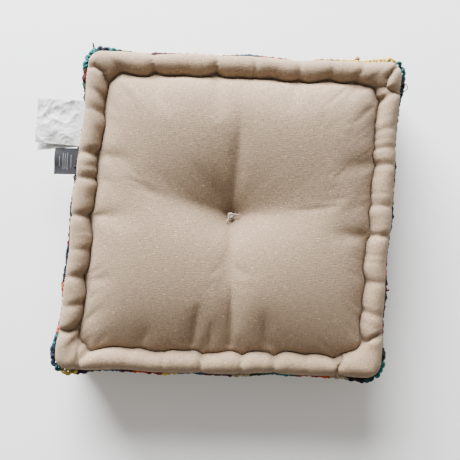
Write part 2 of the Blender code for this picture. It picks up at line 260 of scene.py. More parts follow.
def lean(x, y):
    """Moves places in plan as the cushion's four corners have moved."""
    right, rear = (x / HALF + 1) / 2, (y / HALF + 1) / 2
    moved = np.zeros(np.shape(x) + (2,))
    for name, share in (("right_rear", right * rear), ("left_rear", (1 - right) * rear),
                        ("left_front", (1 - right) * (1 - rear)), ("right_front", right * (1 - rear))):
        moved += share[..., None] * np.array(CORNER_LEAN[name])
    wander_x = waves(y, (0.0013, 27, 0.8), (0.0009, 61, 2.0)) * x / HALF
    wander_y = waves(x, (0.0013, 25, 2.4), (0.0009, 57, 0.4)) * y / HALF
    return x + moved[..., 0] + wander_x, y + moved[..., 1] + wander_y


def on_ring(side, t, inset, z):
    """Points on a ring as an array of X, Y and Z."""
    x, y = lean(*np.broadcast_arrays(*ring_point(side, t, inset)[:2]))
    return np.stack(np.broadcast_arrays(x, y, z), axis=-1)


def along_section(points, count):
    """count places spread evenly along a section's line of (inset, z) points."""
    points = np.array(points)
    lengths = np.concatenate([[0], np.cumsum(np.linalg.norm(np.diff(points, axis=0), axis=1))])
    wanted = np.linspace(0, lengths[-1], count)
    return np.stack([np.interp(wanted, lengths, points[:, i]) for i in range(2)], axis=1)


def roll_line(roll_z, radius, start, end, count=40):
    """(inset, z) places round a roll. The turn is 0 at the roll's outermost place and positive above it."""
    turn = np.linspace(start, end, count)
    return np.stack([ROLL_RADIUS - radius * np.cos(turn), roll_z + radius * np.sin(turn)], axis=1)


def bite_at(side, t, columns):
    """How deep the stitches bite along a side: 1 at a deep stitch and 0 between stitches, in plump lobes.

    Each stitch stands on the nearest of the cloth's columns.
    """
    total = np.zeros(np.broadcast(side, t).shape)
    for index, name in enumerate(SIDES):
        for place, depth in DEEP_STITCHES[name]:
            stitch = round(place_to_t(place * ALONG_SIGN[name]) * columns) / columns
            near = np.clip(1 - np.abs(t - stitch) * GROOVE_REACH / CREASE_REACH, 0, 1)
            total = np.where(side == index, np.maximum(total, depth * (1 - np.sqrt(1 - near ** 2))), total)
    return total


def off_straight(x, y, start, end):
    """The run from start to end, each place's share of it from 0 to 1, and how far off it in X and Y."""
    start, end = np.array(start), np.array(end)
    run = end - start
    share = np.clip(((x - start[0]) * run[0] + (y - start[1]) * run[1]) / (run @ run), 0, 1)
    return run, share, x - start[0] - share * run[0], y - start[1] - share * run[1]


def beside_line(x, y, line):
    """Distance in plan from each place to a line through points, positive on the line's left."""
    nearest = np.full(np.shape(x), 1.0)
    for start, end in zip(line, line[1:]):
        run, _, off_x, off_y = off_straight(x, y, start, end)
        left = np.where(run[0] * off_y - run[1] * off_x >= 0, 1.0, -1.0)
        away = np.hypot(off_x, off_y)
        nearest = np.where(away < np.abs(nearest), away * left, nearest)
    return nearest


def corner_drop(x, y):
    """How far the corner creases draw the roll in at places in plan."""
    drop = np.zeros(np.shape(x))
    for line, depth, over in CORNER_CREASES:
        beside = beside_line(x, y, line)
        near = np.clip(1 - np.abs(beside) / CORNER_CREASE_REACH, 0, 1)
        overlap = over * np.sign(beside) * np.exp(-np.abs(beside) / CORNER_OVERLAP_FADE)
        drop += depth * (1 - np.sqrt(1 - near ** 2)) - overlap
    return drop


def groove_wander(side, t):
    """How far the stitch groove wanders toward the middle of the cushion, from place to place."""
    return waves(t * GROOVE_REACH, (0.0013, 71, side * 1.9), (0.0011, 139, side * 4.1))


def small_gathers(side, along):
    """Shallow gathers at uneven places along every side, from 0 to about 1."""
    rng = np.random.default_rng(5)
    total = np.zeros(np.broadcast(side, along).shape)
    for index in range(4):
        place = -HALF
        while place < HALF:
            place += GATHER_PITCH * rng.uniform(0.6, 1.5)
            depth = rng.uniform(0.15, 1.0) ** 1.6
            gather = depth * np.exp(-(np.abs(along - place) / GATHER_REACH) ** 1.3)
            total = np.where(side == index, np.maximum(total, gather), total)
    return total


def lumps(points, scale, seed):
    """Smooth noise between about -1 and 1 at each point."""
    shift = Vector((seed * 7.1, seed * 3.3, seed * 1.7))
    return np.array([noise.noise(Vector(p) * scale + shift) for p in points])


def new_mesh_object(name, bm, body, slot, *nodes):
    """Turns the bmesh into a smooth piece that rides its body, if one is given, and stands for CAD nodes."""
    mesh = bpy.data.meshes.new(name)
    bm.to_mesh(mesh)
    bm.free()
    mesh.shade_smooth()
    piece = bpy.data.objects.new(name, mesh)
    bpy.context.scene.collection.objects.link(piece)
    if body:
        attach(piece, body)
    if nodes:
        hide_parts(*nodes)
    return piece


def set_points(mesh, points):
    """Moves the mesh's points."""
    mesh.vertices.foreach_set("co", np.ascontiguousarray(points, dtype=np.float32).ravel())
    mesh.update()


def get_points(mesh):
    """The mesh's points as an array."""
    points = np.empty(len(mesh.vertices) * 3, dtype=np.float32)
    mesh.vertices.foreach_get("co", points)
    return points.reshape(-1, 3).astype(float)


def grid_bmesh(columns, rows):
    """A flat grid with corners at -1 and 1, for a function to lay on its surface."""
    bm = bmesh.new()
    bmesh.ops.create_grid(bm, x_segments=columns, y_segments=rows, size=1)
    return bm


def place_verts(bm, points):
    """Lays the grid's points on a surface."""
    for vert, point in zip(bm.verts, points):
        vert.co = point


def lay_out_cloth(bm, flat):
    """Gives a piece the UV map "cloth": each point's place in metres on the flat cloth."""
    layer = bm.loops.layers.uv.new("cloth")
    bm.verts.index_update()
    for face in bm.faces:
        for loop in face.loops:
            loop[layer].uv = flat[loop.vert.index]


# ---------------------------------------------------------------- materials

def new_material(name, roughness, sheen=0.0):
    """A material with one Principled shader. Gives both."""
    made = bpy.data.materials.new(name)
    made.use_nodes = True
    shader = made.node_tree.nodes["Principled BSDF"]
    shader.inputs["Roughness"].default_value = roughness
    shader.inputs["Sheen Weight"].default_value = sheen
    shader.inputs["Sheen Roughness"].default_value = 0.6
    return made, shader


def add_node(made, kind, values=None, **settings):
    """Adds a node with its own settings, and with plain values on its input sockets."""
    node = made.node_tree.nodes.new(kind)
    for key, value in settings.items():
        setattr(node, key, value)
    for key, value in (values or {}).items():
        node.inputs[key].default_value = value
    return node


def join(made, source, target):
    """Links two sockets."""
    made.node_tree.links.new(source, target)


def mix_colour(made, factor, first, second, blend="MIX"):
    """A colour mix. Each of the three may be a socket or a plain value."""
    node = add_node(made, "ShaderNodeMix", data_type="RGBA", blend_type=blend)
    for value, socket in ((factor, node.inputs[0]), (first, node.inputs[6]), (second, node.inputs[7])):
        if isinstance(value, bpy.types.NodeSocket):
            join(made, value, socket)
        elif isinstance(value, (int, float)):
            socket.default_value = value
        else:
            socket.default_value = (*value, 1.0)
    return node.outputs[2]


def number(made, operation, first, second):
    """The result of a sum on two sockets or plain values."""
    node = add_node(made, "ShaderNodeMath", operation=operation)
    for value, socket in ((first, node.inputs[0]), (second, node.inputs[1])):
        if isinstance(value, bpy.types.NodeSocket):
            join(made, value, socket)
        else:
            socket.default_value = value
    return node.outputs[0]


def spread(made, source, low, high, to_low=0.0, to_high=1.0):
    """Spreads the values between low and high over a new span."""
    node = add_node(made, "ShaderNodeMapRange",
                    {"From Min": low, "From Max": high, "To Min": to_low, "To Max": to_high})
    join(made, source, node.inputs["Value"])
    return node.outputs["Result"]


def noise_on(made, vector, scale, detail=2.0, stretch=(1, 1, 1), shift=(0, 0, 0)):
    """Noise on a vector that is stretched and shifted first."""
    mapping = add_node(made, "ShaderNodeMapping", {"Scale": stretch, "Location": shift})
    join(made, vector, mapping.inputs["Vector"])
    node = add_node(made, "ShaderNodeTexNoise", {"Scale": scale, "Detail": detail, "Roughness": 0.55})
    join(made, mapping.outputs["Vector"], node.inputs["Vector"])
    return node.outputs["Fac"]


def bump(made, shader, height, distance, strength=1.0):
    """Gives the shader the fine relief of a height."""
    node = add_node(made, "ShaderNodeBump", {"Strength": strength, "Distance": distance})
    join(made, height, node.inputs["Height"])
    join(made, node.outputs["Normal"], shader.inputs["Normal"])


def shade(colour, factor):
    """A lighter or darker form of a colour."""
    return [min(part * factor, 1) for part in colour]


def object_place(made):
    """The socket of Object coordinates."""
    return add_node(made, "ShaderNodeTexCoord").outputs["Object"]


def fibre_material(name, roughness, sheen, scale, detail, span, dark, pale, relief):
    """Fine fibres, mottled between a dark and a pale colour, with a relief of their own."""
    made, shader = new_material(name, roughness, sheen)
    fibres = noise_on(made, object_place(made), scale, detail)
    join(made, mix_colour(made, spread(made, fibres, *span), dark, pale), shader.inputs["Base Color"])
    bump(made, shader, fibres, relief)
    return made


def canvas_material(colour):
    """Slubby cotton canvas: thick and thin threads both ways, pale slubs and a few dark flecks."""
    made, shader = new_material("taupe_canvas", 0.95, sheen=0.06)
    cloth = add_node(made, "ShaderNodeUVMap", uv_map="cloth").outputs["UV"]
    along_x = noise_on(made, cloth, 1.0, 2, stretch=(110, 800, 1))
    along_y = noise_on(made, cloth, 1.0, 2, stretch=(800, 110, 1), shift=(3, 8, 0))
    slubs = number(made, "ADD", along_x, along_y)
    mottle = noise_on(made, cloth, 330.0, 2, shift=(1, 4, 0))
    cloud = noise_on(made, cloth, 9.0, 3)
    base = mix_colour(made, spread(made, slubs, 0.78, 1.22), shade(colour, 0.70), shade(colour, 1.28))
    mottled = mix_colour(made, spread(made, mottle, 0.35, 0.68, 0, 0.35), base, shade(colour, 1.45))
    clouded = mix_colour(made, spread(made, cloud, 0.3, 0.7, 0.0, 0.5), mottled, shade(colour, 0.93))
    pale = noise_on(made, cloth, 1.0, 1, stretch=(190, 300, 1), shift=(5, 9, 0))
    specked = mix_colour(made, spread(made, pale, 0.66, 0.72, 0, 0.75), clouded, shade(colour, 2.0))
    fleck = noise_on(made, cloth, 1.0, 1, stretch=(240, 330, 1), shift=(11, 2, 0))
    flecked = mix_colour(made, spread(made, fleck, 0.735, 0.77, 0, 0.75), specked, (0.13, 0.07, 0.03))
    join(made, flecked, shader.inputs["Base Color"])
    weave = add_node(made, "ShaderNodeTexWave",
                     {"Scale": 1.0, "Distortion": 1.2, "Detail": 2, "Detail Scale": 1.0},
                     wave_type="BANDS", bands_direction="DIAGONAL")
    scaled = add_node(made, "ShaderNodeMapping", {"Scale": (560, 560, 1)})
    join(made, cloth, scaled.inputs["Vector"])
    join(made, scaled.outputs["Vector"], weave.inputs["Vector"])
    height = number(made, "ADD", number(made, "MULTIPLY", weave.outputs["Fac"], 0.22), slubs)
    bump(made, shader, height, 0.0008, 0.8)
    return made


def yarn_material():
    """Soft plied wool, coloured loop by loop, with painted shade in the grooves of its twist."""
    made, shader = new_material("looped_wool", 1.0)
    colour = add_node(made, "ShaderNodeAttribute", attribute_name="yarn").outputs["Color"]
    ply = add_node(made, "ShaderNodeUVMap", uv_map="ply").outputs["UV"]
    place = object_place(made)
    twist = add_node(made, "ShaderNodeTexWave", {"Scale": 0.9, "Distortion": 0.6, "Detail": 1},
                     wave_type="BANDS", bands_direction="DIAGONAL")
    join(made, ply, twist.inputs["Vector"])
    fibres = noise_on(made, place, 1900.0, 2)
    plump = number(made, "ADD", number(made, "MULTIPLY", twist.outputs["Fac"], 0.6), fibres)
    # painted shade: the colour is multiplied down where the ply twist runs low, in the grooves between plies;
    # the fibre noise adds a random mottle too
    darker = mix_colour(made, 1.0, colour, (0.55, 0.55, 0.55), "MULTIPLY")
    join(made, mix_colour(made, spread(made, plump, 0.35, 1.15), darker, colour), shader.inputs["Base Color"])
    bump(made, shader, plump, 0.0008, 0.9)
    return made


def painted_shade_ground_material():
    """The woven ground between the loops, near black as painted shade in the gaps between them."""
    # near-black colours: painted shade where the ground shows between the loops
    return fibre_material("woven_ground_painted_shade", 1.0, 0.0, 700.0, 2, (0.35, 0.65), (0.012, 0.012, 0.013),
                          (0.05, 0.042, 0.038), 0.0006)


def thread_material(name, colour, roughness=0.8):
    """Thread, mottled by its fine fibres."""
    return fibre_material(name, roughness, 0.2, 1500.0, 3, (0.3, 0.7), shade(colour, 0.62), colour, 0.0005)


def wadding_material(colour):
    """Fluffy cotton wadding."""
    return fibre_material("cotton_wadding", 1.0, 0.3, 120.0, 6, (0.3, 0.7), shade(colour, 0.8), colour, 0.002)


def spunbond_material():
    """Thin white spunbond: swirling fibres, with light that soaks into it a little."""
    made, shader = new_material("white_spunbond", 0.5)
    place = object_place(made)
    fibres = noise_on(made, place, 420.0, 5)
    patches = noise_on(made, place, 60.0, 2)
    join(made, mix_colour(made, spread(made, fibres, 0.35, 0.65), (0.44, 0.45, 0.45), (0.66, 0.66, 0.65)),
         shader.inputs["Base Color"])
    shader.inputs["Subsurface Weight"].default_value = 0.25
    shader.inputs["Subsurface Radius"].default_value = (0.004, 0.004, 0.004)
    bump(made, shader, number(made, "ADD", fibres, patches), 0.0006, 0.6)
    return made


# Plain bars woven into the ribbon: how far from the ribbon's root, and half length across it
RIBBON_BARS = ((0.013, 0.010), (0.019, 0.0135), (0.0225, 0.012), (0.026, 0.013), (0.032, 0.008))
BAR_HALF_HEIGHT = 0.0006


def ribbon_material():
    """Black woven ribbon with fine ribs and five plain pale bars."""
    made, shader = new_material("black_ribbon", 0.8)
    shader.inputs["Specular IOR Level"].default_value = 0.2
    place = add_node(made, "ShaderNodeUVMap", uv_map="cloth").outputs["UV"]
    ribs = add_node(made, "ShaderNodeTexWave", {"Scale": 220.0, "Distortion": 0.3}, wave_type="BANDS",
                    bands_direction="Y")
    join(made, place, ribs.inputs["Vector"])
    split = add_node(made, "ShaderNodeSeparateXYZ")
    join(made, place, split.inputs["Vector"])
    bars = None
    for middle, half_length in RIBBON_BARS:
        off_middle = number(made, "SUBTRACT", split.outputs["X"], middle)
        across = number(made, "LESS_THAN", number(made, "ABSOLUTE", off_middle, 0), BAR_HALF_HEIGHT)
        lengthwise = number(made, "LESS_THAN", number(made, "ABSOLUTE", split.outputs["Y"], 0), half_length)
        bar = number(made, "MULTIPLY", across, lengthwise)
        bars = bar if bars is None else number(made, "MAXIMUM", bars, bar)
    speckle = noise_on(made, place, 900.0, 2)
    cloth = mix_colour(made, spread(made, speckle, 0.3, 0.7), (0.012, 0.012, 0.014), (0.032, 0.032, 0.037))
    inked = mix_colour(made, number(made, "MULTIPLY", bars, 0.55), cloth, (0.20, 0.20, 0.21))
    join(made, inked, shader.inputs["Base Color"])
    bump(made, shader, ribs.outputs["Fac"], 0.0004, 0.7)
    return made


def floor_material():
    """The pale floor."""
    made, shader = new_material("pale_floor", 0.6)
    shader.inputs["Base Color"].default_value = (0.90, 0.905, 0.91, 1)
    return made


MATERIALS = {}


def material(name, make, *values):
    """Each material is made once and shared."""
    if name not in MATERIALS:
        MATERIALS[name] = make(*values)
    return MATERIALS[name]


# ---------------------------------------------------------------- the canvas back

def plain_panel_z(share):
    """Height of the panel with no pillows: level, then steep down to the groove, where share is 1."""
    return GROOVE_Z + (PANEL_EDGE_Z - GROOVE_Z) * np.sqrt(1 - share ** 36)


def canvas_section(sizes):
    """(inset, z) of each ring of the canvas, from the tuft over the panel and the roll to the seam."""
    share = np.linspace(0, 1, 600)
    height = plain_panel_z(share) - 0.022 * np.exp(-share / 0.12)
    panel = np.stack([HALF - share * (HALF - GROOVE_INSET), height], axis=1)
    roll = roll_line(BACK_ROLL_Z, ROLL_RADIUS, GROOVE_ANGLE, 0, 80)
    return np.concatenate([along_section(panel, sizes.ring_rows + 1),
                           along_section(roll, sizes.roll_rows + 1)[1:]])


def panel_relief(sizes, x, y):
    """Height of the puffed panel above its edge: four pillows, with valleys that meet at the tuft."""
    reach = HALF - GROOVE_INSET
    bent = np.where(x < 0, -VALLEY_RISE_LEFT * x, VALLEY_RISE_RIGHT * (1 - np.exp(-np.abs(x) / 0.07)))
    off_valley = (y - bent) / reach
    soft = 0.02 + 0.14 * np.clip(np.abs(x) / reach, 0, 1)
    slant = np.sign(off_valley) * (np.sqrt(off_valley ** 2 + soft ** 2) - soft)
    across, up = np.clip(np.abs(x) / reach, 0, 1), np.clip(np.abs(y) / reach, 0, 1)
    high, low = sizes.puff, sizes.puff * FRONT_HEIGHT
    valley = sizes.puff * (VALLEY_HEIGHT + VALLEY_CLIMB * across ** 2)
    rear_half = high - (high - valley) * np.clip(1 - slant / REAR_CREST, 0, 1) ** 2
    to_crest = np.clip(1 + slant / FRONT_CREST, 0, 1)
    past_crest = np.clip(np.clip(-slant - FRONT_CREST, 0, 1) / (1 - FRONT_CREST), 0, 1)
    front_half = low - (low - valley) * to_crest ** 2 - FRONT_SLOPE * low * past_crest ** 2
    rim = ((1 - across ** 4) * (1 - up ** np.where(y > 0, 6.0, 5.0))) ** 0.6
    near_cross = np.clip(1 - across / CROSS_VALLEY_REACH, 0, 1)
    cross_valley = CROSS_VALLEY_DEPTH * near_cross ** 2 * (1 - 0.7 * up ** 2)
    around = (np.where(slant > 0, rear_half, front_half) - cross_valley) * rim
    away = np.hypot(x, y)
    top = VALLEY_HEIGHT * sizes.puff - CROSS_VALLEY_DEPTH
    depth = PANEL_EDGE_Z + top - BACK_KNOT[0][2]
    funnel = 0.55 * np.exp(-np.maximum(away - 0.004, 0) / 0.009) + 0.45 * np.exp(-(away / 0.045) ** 1.4)
    return around - depth * funnel


def fold_drop(x, y):
    """How far the listed folds lower the panel."""
    drop = np.zeros_like(x)
    for start, end, depth, width in PANEL_FOLDS:
        _, share, off_x, off_y = off_straight(x, y, start, end)
        fade = 1 - smooth_step(0.35, 1.0, share)
        drop += depth * fade * np.exp(-(np.hypot(off_x, off_y) / width) ** 1.3)
    return drop


DEEPEST_BITE = 0.0115        # no stitch or gather draws the roll in further
ROLL_GATHER = 0.0016         # depth of the small gathers on the roll
PANEL_GATHER = 0.0014        # and on the panel beside the groove
LOBE_SWELL = 0.0012          # how far the roll swells between stitches
BESIDE_GROOVE = 0.012        # how far onto the panel the stitches' pull carries
PANEL_DIP = 0.0035           # how far that pull lowers the panel


def canvas_shape(sizes, u, v):
    """The canvas before it is inflated, for grid places u and v from -1 to 1.

    Gives its points, their places on the flat cloth, each point's ring, how deep the stitches bite there, and
    the guides for its corner creases: "plan" holds X, Y and how far a crease shows, and "middle" a place on
    the roll's middle line.
    """
    rows = cloth_rows(sizes)
    ring = np.maximum(np.abs(u), np.abs(v))
    side = np.where(np.abs(u) >= np.abs(v), np.where(u > 0, 0, 2), np.where(v > 0, 1, 3))
    across = np.select([side == 0, side == 1, side == 2], [v, -u, -v], u)
    t = across / np.maximum(ring, 1e-9)
    index = np.rint(ring * rows).astype(int)
    section = canvas_section(sizes)
    inset, z = section[index].T
    bites = bite_at(side, t, rows)
    gathers = small_gathers(side, t * GROOVE_REACH)
    wander = groove_wander(side, t)
    on_roll = index > sizes.ring_rows

    turn = np.where(on_roll, np.arctan2(z - BACK_ROLL_Z, ROLL_RADIUS - inset), math.pi)
    turn = np.where(turn < -0.5, turn + 2 * math.pi, turn)
    inner = smooth_step(math.radians(10), math.radians(150), turn)
    through = 0.22 + 0.38 * smooth_step(0.8, 1.2, bites)
    pinch = sizes.bite * bites * (through + (1 - through) * inner) + ROLL_GATHER * gathers * inner
    pinch = DEEPEST_BITE * np.tanh(pinch / DEEPEST_BITE)
    swell = LOBE_SWELL * (1 - np.clip(bites * 1.6, 0, 1)) * np.sin(np.clip(turn, 0, math.pi))
    radius = ROLL_RADIUS - pinch + swell
    roll_inset = ROLL_RADIUS - radius * np.cos(turn) + wander * inner
    roll_z = BACK_ROLL_Z + radius * np.sin(turn)

    from_groove = np.maximum(inset - GROOVE_INSET, 0)
    near = np.exp(-(from_groove / BESIDE_GROOVE))
    panel_inset = inset - near * (sizes.bite * bites * GROOVE_SHARE - wander)
    panel_z = z - PANEL_DIP * np.exp(-((from_groove - BESIDE_GROOVE) / BESIDE_GROOVE) ** 2) * bites
    panel_z -= PANEL_GATHER * gathers * np.exp(-from_groove / 0.018)
    new_inset = np.where(on_roll, roll_inset, panel_inset)
    new_z = np.where(on_roll, roll_z, panel_z)
    x, y = ring_point(side, t, new_inset)[:2]
    share = np.clip((HALF - inset) / (HALF - GROOVE_INSET), 0, 1)
    relief = panel_relief(sizes, x, y) * np.sqrt(1 - share ** 16)
    relief -= fold_drop(x, y) * smooth_step(0, 0.02, from_groove + 0.004)
    new_z += np.where(on_roll, 0, plain_panel_z(share) + relief - z)
    points = on_ring(side, t, new_inset, new_z)
    lengths = np.concatenate([[0], np.cumsum(np.linalg.norm(np.diff(section, axis=0), axis=1))])
    reach = lengths[index] / np.maximum(HALF - inset, 1e-6)
    flat = on_ring(side, t, inset, 0)[..., :2] * np.where(index > 0, reach, 1)[..., None]
    weight = smooth_step(math.radians(3), math.radians(38), turn) * (1 - 0.75 * smooth_step(2.7, 3.3, turn))
    plan = np.stack([x, y, np.where(on_roll, weight, 0)], axis=1)
    middle = on_ring(side, t, ROLL_RADIUS, BACK_ROLL_Z)
    return points, flat, index, bites, {"plan": plan, "middle": middle}


SETTLING_FRAMES = 20
HEM = 0.006                  # how far the raw edge turns in
HEM_DROP = 0.0015


def weigh_points(piece, name, weights):
    """A vertex group that holds each point's weight."""
    group = piece.vertex_groups.new(name=name)
    for value in np.unique(weights):
        if value > 0:
            group.add(np.nonzero(np.isclose(weights, value))[0].tolist(), float(value), "REPLACE")


def simulate_canvas(piece, start, pins, slack, pressure, cap):
    """The canvas's points once it is inflated between its stitches, none moved past its cap from start."""
    weigh_points(piece, "held", np.round(pins, 2))
    weigh_points(piece, "slack", np.round(slack, 1))
    cloth = piece.modifiers.new("inflate", "CLOTH")
    settings = cloth.settings
    settings.quality = 4
    settings.mass = 0.15
    settings.tension_stiffness = settings.compression_stiffness = 12
    settings.shear_stiffness = 4
    settings.bending_stiffness = 0.4
    settings.vertex_group_mass = "held"
    settings.pin_stiffness = 1.0
    settings.vertex_group_shrink = "slack"
    settings.shrink_min = 0.0
    settings.shrink_max = -0.09
    settings.use_pressure = True
    settings.uniform_pressure_force = pressure
    settings.effector_weights.gravity = 0
    cloth.collision_settings.use_collision = False
    scene = bpy.context.scene
    for step in range(1, SETTLING_FRAMES + 1):
        scene.frame_set(step)
    shaped = piece.evaluated_get(bpy.context.evaluated_depsgraph_get())
    after = get_points(shaped.data)
    moved = after - start
    distance = np.linalg.norm(moved, axis=1, keepdims=True)
    piece.modifiers.remove(cloth)
    scene.frame_set(1)
    limit = cap[:, None]
    eased = limit * np.tanh(distance / limit)
    return start + moved * eased / np.maximum(distance, 1e-9)


class CUSHION_OT_canvas_back(bpy.types.Operator):
    """Make the canvas back: crowned panel, tuft pit, gathered roll and turned-in seam edge"""
    bl_idname = "cushion.canvas_back"
    bl_label = "Canvas back"

    def execute(self, context):
        sizes = context.scene.cushion_sizes
        rows = cloth_rows(sizes)
        bm = grid_bmesh(2 * rows, 2 * rows)
        flat_grid = np.array([vert.co[:2] for vert in bm.verts])
        points, flat, index, bites, guides = canvas_shape(sizes, flat_grid[:, 0], flat_grid[:, 1])
        place_verts(bm, points)
        lay_out_cloth(bm, flat)
        piece = new_mesh_object("canvas_back", bm, BODY, "canvas", "back_panel")
        start = get_points(piece.data)
        from_stitch = index - sizes.ring_rows
        pins = np.where((from_stitch == 0) | (index == rows) | (index <= 1), 1.0, 0.0)
        on_roll = from_stitch > 0
        pins = np.maximum(pins, np.where(on_roll & (from_stitch <= 8) & (bites > 0.75), 0.9, 0))
        pins = np.maximum(pins, np.where(~on_roll, 0.03, 0.0))
        slack = np.where(on_roll, 1.0, 0.35)
        cap = np.where(on_roll, 0.0030, 0.0055)
        set_points(piece.data, simulate_canvas(piece, start, pins, slack, sizes.pressure, cap))
        for name, values in guides.items():
            guide = piece.data.attributes.new(name, "FLOAT_VECTOR", "POINT")
            guide.data.foreach_set("vector", values.astype(np.float32).ravel())
        self.turn_in_edge(piece)
        self.crease_corners(piece)
        piece.data.materials.append(material("canvas", canvas_material, context.scene.cushion_colours.canvas))
        return {"FINISHED"}

    def crease_corners(self, piece):
        """Makes the mesh finer and draws its roll in along the corner creases."""
        finer = piece.modifiers.new("finer", "SUBSURF")
        finer.levels = finer.render_levels = 1
        shaped = piece.evaluated_get(bpy.context.evaluated_depsgraph_get())
        mesh, coarse = bpy.data.meshes.new_from_object(shaped), piece.data
        piece.modifiers.remove(finer)
        piece.data = mesh
        bpy.data.meshes.remove(coarse)
        mesh.name = piece.name
        guides = {}
        for name in ("plan", "middle"):
            values = np.empty(len(mesh.vertices) * 3, dtype=np.float32)
            mesh.attributes[name].data.foreach_get("vector", values)
            guides[name] = values.reshape(-1, 3).astype(float)
            mesh.attributes.remove(mesh.attributes[name])
        points = get_points(mesh)
        inward = guides["middle"] - points
        inward /= np.maximum(np.linalg.norm(inward, axis=1, keepdims=True), 1e-6)
        plan_x, plan_y, weight = guides["plan"].T
        set_points(mesh, points + inward * (corner_drop(plan_x, plan_y) * weight)[:, None])
        mesh.shade_smooth()

    def turn_in_edge(self, piece):
        """Turns the raw edge in behind the seam."""
        bm = bmesh.new()
        bm.from_mesh(piece.data)
        rim = [edge for edge in bm.edges if edge.is_boundary]
        grown = bmesh.ops.extrude_edge_only(bm, edges=rim)["geom"]
        for vert in (item for item in grown if isinstance(item, bmesh.types.BMVert)):
            vert.co.x *= 1 - HEM / HALF
            vert.co.y *= 1 - HEM / HALF
            vert.co.z -= HEM_DROP
        bm.to_mesh(piece.data)
        bm.free()
        piece.data.shade_smooth()


# ---------------------------------------------------------------- the filling

def ring_sweep(name, section, slot, *nodes, stations=22, closed=True):
    """A section of (inset, z) points carried round all four sides: a closed piece, or else an open sheet."""
    rows = len(section) if closed else len(section) - 1
    bm = grid_bmesh(4 * stations, rows)
    places = np.array([vert.co[:2] for vert in bm.verts]) * 0.5 + 0.5
    around = places[:, 0] * 4
    side = np.minimum(around.astype(int), 3)
    index = np.rint(places[:, 1] * rows).astype(int) % len(section)
    inset, z = np.array(section)[index].T
    place_verts(bm, on_ring(side, (around - side) * 2 - 1, inset, z))
    bmesh.ops.remove_doubles(bm, verts=bm.verts, dist=1e-6)
    bmesh.ops.recalc_face_normals(bm, faces=bm.faces)
    return new_mesh_object(name, bm, BODY, slot, *nodes)


def panel_ring(x, y):
    """Half width of the ring that passes through a place on a panel."""
    halves = np.linspace(0, HALF, 600)
    radius = np.minimum(corner_radius(HALF - halves), halves)
    far, near = np.maximum(np.abs(x), np.abs(y)), np.minimum(np.abs(x), np.abs(y))
    found = far.copy()
    for _ in range(12):
        corner = np.interp(found, halves, radius)
        straight = found - corner
        past = np.maximum(near - straight, 0)
        found = far + corner - np.sqrt(np.maximum(corner ** 2 - past ** 2, 0))
    return np.minimum(found, HALF)


def face_section():
    """(inset, z) of the woven ground on the underside, from the seam round the lower roll to the tuft."""
    roll = roll_line(FACE_ROLL_Z, GROUND_RADIUS, math.radians(-0.5), FACE_GROOVE_ANGLE)
    lying = FLOOR_Z + FACE_LIFT
    inset, z = roll[-1]
    share = np.linspace(0, 1, 120)[1:]
    across = inset + share * (HALF - inset)
    height = lying + (z - lying) * np.exp(-(share / 0.05) ** 1.4)
    height += FACE_PIT * np.exp(-((1 - share) / 0.17) ** 1.6)
    return np.concatenate([roll, np.stack([across, height], axis=1)])


class CUSHION_OT_filling(bpy.types.Operator):
    """Make the wadding of the two rolls and the soft core between the panels"""
    bl_idname = "cushion.filling"
    bl_label = "Filling"

    def execute(self, context):
        wadding = material("wadding", wadding_material, context.scene.cushion_colours.wadding)
        shoulder, waist = 0.046, 0.030
        top = [(inset, ROLL_TOP_Z - 0.017 - 0.018 * math.exp(-((HALF - inset) / 0.06) ** 2))
               for inset in np.linspace(HALF - 0.003, shoulder, 16)]
        neck = [(shoulder, BACK_ROLL_Z - 0.012), (waist, 0.0), (shoulder, FACE_ROLL_Z + 0.010)]
        under = face_section()
        under = under[under[:, 0] > 0.052][::8]
        bottom = [(inset, z + 0.006) for inset, z in under if inset < HALF - 0.004]
        core = ring_sweep("core_wadding", top + neck + bottom, "filling", "filling_core")
        core.data.materials.append(wadding)
        radius = 0.0055
        turns = np.linspace(0, 2 * math.pi, 13)[:-1]
        for name, roll_z, node in (("back_roll_wadding", BACK_ROLL_Z, "back_roll_filling"),
                                   ("face_roll_wadding", FACE_ROLL_Z, "face_roll_filling")):
            ring = [(ROLL_RADIUS - 0.003 - radius * math.cos(turn), roll_z + radius * math.sin(turn))
                    for turn in turns]
            roll = ring_sweep(name, ring, "filling", node)
            roll.data.materials.append(wadding)
        return {"FINISHED"}


# ---------------------------------------------------------------- the looped bands and face

# Colours of the wool
PALETTE = {
    "turquoise": (0.002, 0.150, 0.150), "teal": (0.002, 0.055, 0.070), "navy": (0.004, 0.009, 0.030),
    "red": (0.20, 0.004, 0.004), "maroon": (0.058, 0.003, 0.006), "orange": (0.42, 0.050, 0.003),
    "mustard": (0.26, 0.125, 0.006), "pale yellow": (0.56, 0.39, 0.080), "purple": (0.026, 0.004, 0.042),
    "green": (0.004, 0.036, 0.012), "cream": (0.42, 0.34, 0.21), "charcoal": (0.009, 0.009, 0.011),
    "slate": (0.022, 0.050, 0.085), "pink": (0.25, 0.030, 0.048),
}
